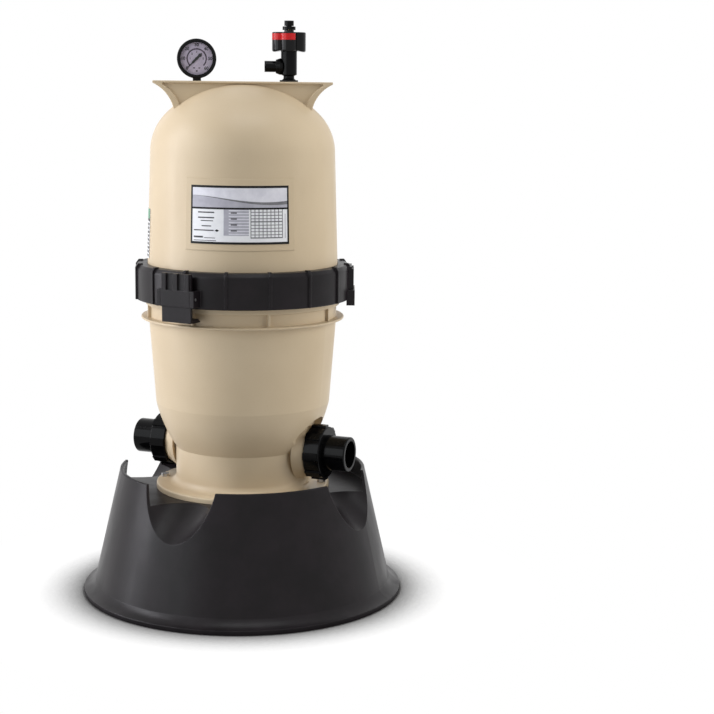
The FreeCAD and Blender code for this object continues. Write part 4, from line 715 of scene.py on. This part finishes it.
def makePointer():
    look = pointer
    home, radius = dialFrame()
    turned = home @ Matrix.Rotation(dialAngle(0), 4, "Z")
    mesh = bmesh.new()
    blade = [
        (-look["tail"], -look["body"]), (look["waist"] - look["shoulder"], -look["body"]),
        (look["waist"], -look["waistWidth"]), (look["tip"], -look["tipWidth"]),
        (look["tip"] + look["point"], 0), (look["tip"], look["tipWidth"]),
        (look["waist"], look["waistWidth"]), (look["waist"] - look["shoulder"], look["body"]),
        (-look["tail"], look["body"])]
    closedPrism(mesh, [(x * radius, y * radius, look["low"]) for x, y in blade], look["thick"], turned)
    proud, foot = look["bobProud"], look["hubFoot"]
    for middle, size, low, high in (
            (-look["tail"], look["bob"], look["low"] - proud, look["thick"] + proud * 2),
            (0, look["hub"], foot, look["hubTop"] - foot)):
        ring = []
        for step in range(look["roundSteps"]):
            angle = 2 * math.pi * step / look["roundSteps"]
            ring.append((
                (middle + size * math.cos(angle)) * radius, size * math.sin(angle) * radius, low))
        closedPrism(mesh, ring, high, turned)
    piece = newPiece("pointerNeedle", mesh, "needle", "pointer_black", "pointerBlack")
    bevelled(piece, look["edge"])
    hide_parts("gauge_pointer")


def bevelled(piece, width, segments=2):
    modifier = piece.modifiers.new("roundedEdges", "BEVEL")
    modifier.width = width
    modifier.segments = segments
    modifier.limit_method = "ANGLE"


makeDial()
makePointer()
print("gauge dressed")


# relief valve: a knob with six finger lobes, and a band round nearly half of it

knob = {
    "lobes": 6, "crown": 0.6, "turn": -128, "deep": 5.5 * mm, "drop": 2.6 * mm, "round": 2.2 * mm,
    "flat": 2.2, "topRound": 0.7, "roundSteps": 4, "steps": 180,
    "boreZone": 8 * mm, "capZone": 4 * mm, "near": 0.1 * mm, "boreRoom": 1.2,
    "rise": 0.28 * mm, "sink": 0.3 * mm, "bandTurn": -127, "bandAngle": 166, "bandSteps": 90,
}


def lobeShare(angle):
    # 1 on the crest of a lobe, 0 in the groove between two
    look = knob
    swing = math.cos((angle - math.radians(look["turn"])) * look["lobes"] / 2)
    return abs(swing) ** look["crown"]


def makeKnob():
    look = knob
    low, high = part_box("relief_knob")
    axis = (low + high) / 2
    axis.z = 0
    home = Matrix.Translation(axis)
    crest = (high.x - low.x) / 2
    spots = [vertex.co - axis for vertex in nodes["relief_knob"].data.vertices]
    near = look["near"]
    bore = min(spot.xy.length for spot in spots if spot.z < low.z + look["boreZone"])
    boss = min(spot.xy.length for spot in spots if spot.z > high.z - near)
    bossOuter = max(spot.xy.length for spot in spots if spot.z > high.z - near)
    cap = min(spot.z for spot in spots if spot.z > high.z - look["capZone"])
    ceiling = max(spot.z for spot in spots if abs(spot.xy.length - bore) < near)
    foot = low.z + look["drop"]
    soft = look["round"]
    softTop = soft * look["topRound"]
    turns = [math.pi / 2 * step / look["roundSteps"] for step in range(look["roundSteps"] + 1)]
    profile = [(bore, foot), (crest - soft * look["flat"], foot)]
    for turn in turns:
        profile.append((crest - soft * (1 - math.sin(turn)), foot + soft * (1 - math.cos(turn))))
    for turn in turns:
        profile.append((crest - softTop * (1 - math.cos(turn)), cap - softTop * (1 - math.sin(turn))))
    profile += [(bossOuter, cap), (bossOuter, high.z), (boss, high.z), (boss, ceiling), (bore, ceiling)]

    def lobed(angle, radius):
        reach = max(0, (radius - bossOuter) / (crest - bossOuter))
        return radius - look["deep"] * (1 - lobeShare(angle)) * reach

    mesh = bmesh.new()
    turnedShape(mesh, profile, look["steps"], home, lobed)
    for vertex in mesh.verts:
        offset = (vertex.co - axis).xy
        if vertex.co.z < foot + soft and offset.length > bore * look["boreRoom"]:
            angle = math.atan2(offset.y, offset.x)
            vertex.co.z -= look["drop"] * lobeShare(angle) ** 2 * min(1, offset.length / crest) ** 2
    piece = newPiece("lobedKnob", mesh, "knob", "black_fitting", "blackKnob")
    smoothByAngle(piece)
    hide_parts("relief_knob")
    makeBand(home, crest)


def makeBand(home, crest):
    look = knob
    low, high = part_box("relief_knob_band")
    centre = math.radians(look["bandTurn"])
    half = math.radians(look["bandAngle"] / 2)
    inner, outer = -look["sink"], look["rise"]
    mesh = bmesh.new()
    rows = []
    for step in range(look["bandSteps"] + 1):
        angle = centre - half + half * 2 * step / look["bandSteps"]
        radius = crest - look["deep"] * (1 - lobeShare(angle))
        row = []
        for reach, height in ((inner, low.z), (outer, low.z), (outer, high.z), (inner, high.z)):
            spot = Vector(((radius + reach) * math.cos(angle), (radius + reach) * math.sin(angle), height))
            row.append(mesh.verts.new(home @ spot))
        rows.append(row)
    sweptSolid(mesh, rows)
    piece = newPiece("lobedBand", mesh, "knob", "band_red", "bandRed")
    smoothByAngle(piece)
    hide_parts("relief_knob_band")


makeKnob()
print("relief knob made")


# coil springs wound in place of the spring nodes, riding on their bodies

springs = {
    "reliefCoil": {
        "node": "relief_spring", "body": "lid", "joint": "relief_lift",
        "turns": 6, "fixedEnd": 1, "keep": 0.83},
    "latchCoil": {
        "node": "latch_spring", "body": "ring", "joint": "latch_press",
        "turns": 3, "fixedEnd": 0, "keep": 0.40},
}
springSteps, springSides = 26, 10


def makeSpring(name, along):
    # a round wire wound about the line that the node lies on
    look = springs[name]
    middle = middleOf(look["node"])
    spots = [vertex.co - middle for vertex in nodes[look["node"]].data.vertices]
    reach = [(spot - along * spot.dot(along)).length for spot in spots]
    ends = [spot.dot(along) for spot in spots]
    wire = (max(reach) - min(reach)) / 2
    coil = max(reach) - wire
    low, high = min(ends) + wire, max(ends) - wire
    side = along.orthogonal().normalized()
    across = along.cross(side)
    mesh = bmesh.new()
    rings = []
    count = look["turns"] * springSteps
    climb = (high - low) / (look["turns"] * 2 * math.pi * coil)
    for step in range(count + 1):
        angle = 2 * math.pi * step / springSteps
        out = side * math.cos(angle) + across * math.sin(angle)
        ahead = (across * math.cos(angle) - side * math.sin(angle) + along * climb).normalized()
        up = ahead.cross(out)
        spot = middle + out * coil + along * (low + (high - low) * step / count)
        ring = []
        for index in range(springSides):
            turn = 2 * math.pi * index / springSides
            ring.append(mesh.verts.new(spot + (out * math.cos(turn) + up * math.sin(turn)) * wire))
        rings.append(ring)
    sweptSolid(mesh, rings)
    piece = newPiece(name, mesh, look["body"], "stainless", "stainless")
    smoothByAngle(piece)
    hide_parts(look["node"])
    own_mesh(piece)


outward = middleOf("latch_spring")
outward.z = 0
makeSpring("reliefCoil", Vector((0, 0, 1)))
makeSpring("latchCoil", outward.normalized())
print("springs made")


# camera, floor and light

camera = {
    "place": (1.2256, -2.6283, 0.9043), "turn": 25, "tilt": -9.42, "pan": 3.991,
    "lens": 82.39, "sensor": 36, "clip": (0.05, 60),
}


def makeCamera():
    look = camera
    data = bpy.data.cameras.new("studioCamera")
    data.lens = look["lens"]
    data.sensor_width = look["sensor"]
    data.clip_start, data.clip_end = look["clip"]
    eye = bpy.data.objects.new("studioCamera", data)
    bpy.context.scene.collection.objects.link(eye)
    aim = Matrix.Rotation(math.radians(look["turn"]), 4, "Z")
    aim = aim @ Matrix.Rotation(math.radians(90 + look["tilt"]), 4, "X")
    aim = aim @ Matrix.Rotation(math.radians(-look["pan"]), 4, "Y")
    eye.matrix_world = Matrix.Translation(look["place"]) @ aim
    bpy.context.scene.camera = eye


def seenByEye(tree):
    # 1 for the camera's own rays and for what glossy or clear surfaces show
    path = addNode(tree, "LightPath")
    seen = calc(tree, "MAXIMUM", path.outputs["Is Camera Ray"], path.outputs["Is Glossy Ray"])
    return calc(tree, "MAXIMUM", seen, path.outputs["Is Transmission Ray"])


# reach, closed, open and dark set the painted contact shadow; near to far is where it fades into plain
# white
floor = {
    "half": 14.0, "colour": (0.55, 0.55, 0.55, 1), "shade": (0.10, 0.097, 0.095, 1),
    "near": 0.38, "far": 0.55, "reach": 0.14, "open": 0.96, "closed": 0.70, "dark": 0.0,
}


def makeFloor():
    look = floor
    mesh = bmesh.new()
    bmesh.ops.create_grid(mesh, x_segments=2, y_segments=2, size=look["half"])
    data = bpy.data.meshes.new("studioFloor")
    mesh.to_mesh(data)
    mesh.free()
    piece = bpy.data.objects.new("studioFloor", data)
    bpy.context.scene.collection.objects.link(piece)
    material, tree, shader = newMaterial("floorWhite")
    seen = seenByEye(tree)
    fill(tree, shader, {
        "Base Color": blendColours(tree, seen, look["colour"], look["shade"]),
        "Roughness": 0.9, "Specular IOR Level": 0.1})
    # paper glows white where it is open; a painted shadow, drawn from occlusion, darkens the glow where the
    # stand covers it
    gap = addNode(tree, "AmbientOcclusion", {"Distance": look["reach"]}, samples=12)
    paintedShadowTone = spread(tree, gap.outputs["AO"], look["closed"], look["open"], look["dark"], 1)
    glow = addNode(tree, "Emission", {"Color": paintedShadowTone, "Strength": seen})
    near = addNode(tree, "AddShader", {0: shader.outputs[0], 1: glow.outputs[0]})
    # past the painted shadow the floor is plain white
    flat = addNode(tree, "VectorMath", {0: place(tree)}, operation="LENGTH")
    away = spread(tree, flat.outputs["Value"], look["near"], look["far"], 0, 1)
    away = calc(tree, "MULTIPLY", away, seen)
    white = addNode(tree, "Emission", {"Strength": 1.0})
    both = addNode(tree, "MixShader", {0: away, 1: near.outputs[0], 2: white.outputs[0]})
    fill(tree, tree.nodes["Material Output"], {"Surface": both.outputs[0]})
    data.materials.append(material)


def makeWorld(ambient=0.25):
    world = bpy.data.worlds.new("studioWorld")
    bpy.context.scene.world = world
    world.use_nodes = True
    tree = world.node_tree
    sky = tree.nodes["Background"]
    strength = spread(tree, seenByEye(tree), 0, 1, ambient, 1.0)
    fill(tree, sky, {"Color": (1, 1, 1, 1), "Strength": strength})


# angle is where a lamp stands, seen from above: 0 is at the camera, + to its right
lamps = {
    "keyLeft": {"angle": -89, "height": 1.06, "reach": 1.9, "size": (0.50, 2.1), "power": 32,
                "colour": (0.94, 0.94, 1.0), "mirrored": True},
    "softLeft": {"angle": -60, "height": 1.2, "reach": 2.5, "size": (2.0, 2.0), "power": 30,
                 "colour": (0.92, 0.97, 1.0), "mirrored": True},
    "fillRight": {"angle": 80, "height": 1.2, "reach": 2.4, "size": (1.6, 2.0), "power": 41,
                  "colour": (1.0, 1.0, 0.98), "mirrored": False},
    "topSoft": {"angle": 12, "height": 2.5, "reach": 0.6, "size": (1.1, 1.1), "power": 11,
                "colour": (0.96, 0.98, 1.0), "mirrored": True},
}


lampAim = (0, 0, 0.5)


def makeLamps():
    centre = Vector(lampAim)
    facing = math.radians(camera["turn"] - 90)
    for name, look in lamps.items():
        data = bpy.data.lights.new(name, "AREA")
        data.shape = "RECTANGLE"
        data.size, data.size_y = look["size"]
        data.energy = look["power"]
        data.color = look["colour"]
        lamp = bpy.data.objects.new(name, data)
        bpy.context.scene.collection.objects.link(lamp)
        lamp.visible_glossy = look["mirrored"]
        angle = facing + math.radians(look["angle"])
        lamp.location = (
            look["reach"] * math.cos(angle), look["reach"] * math.sin(angle), look["height"])
        lamp.rotation_euler = (centre - lamp.location).to_track_quat("-Z", "Y").to_euler()


makeCamera()
makeFloor()
makeWorld()
makeLamps()
bpy.context.scene.view_settings.view_transform = "Standard"
print("studio ready")
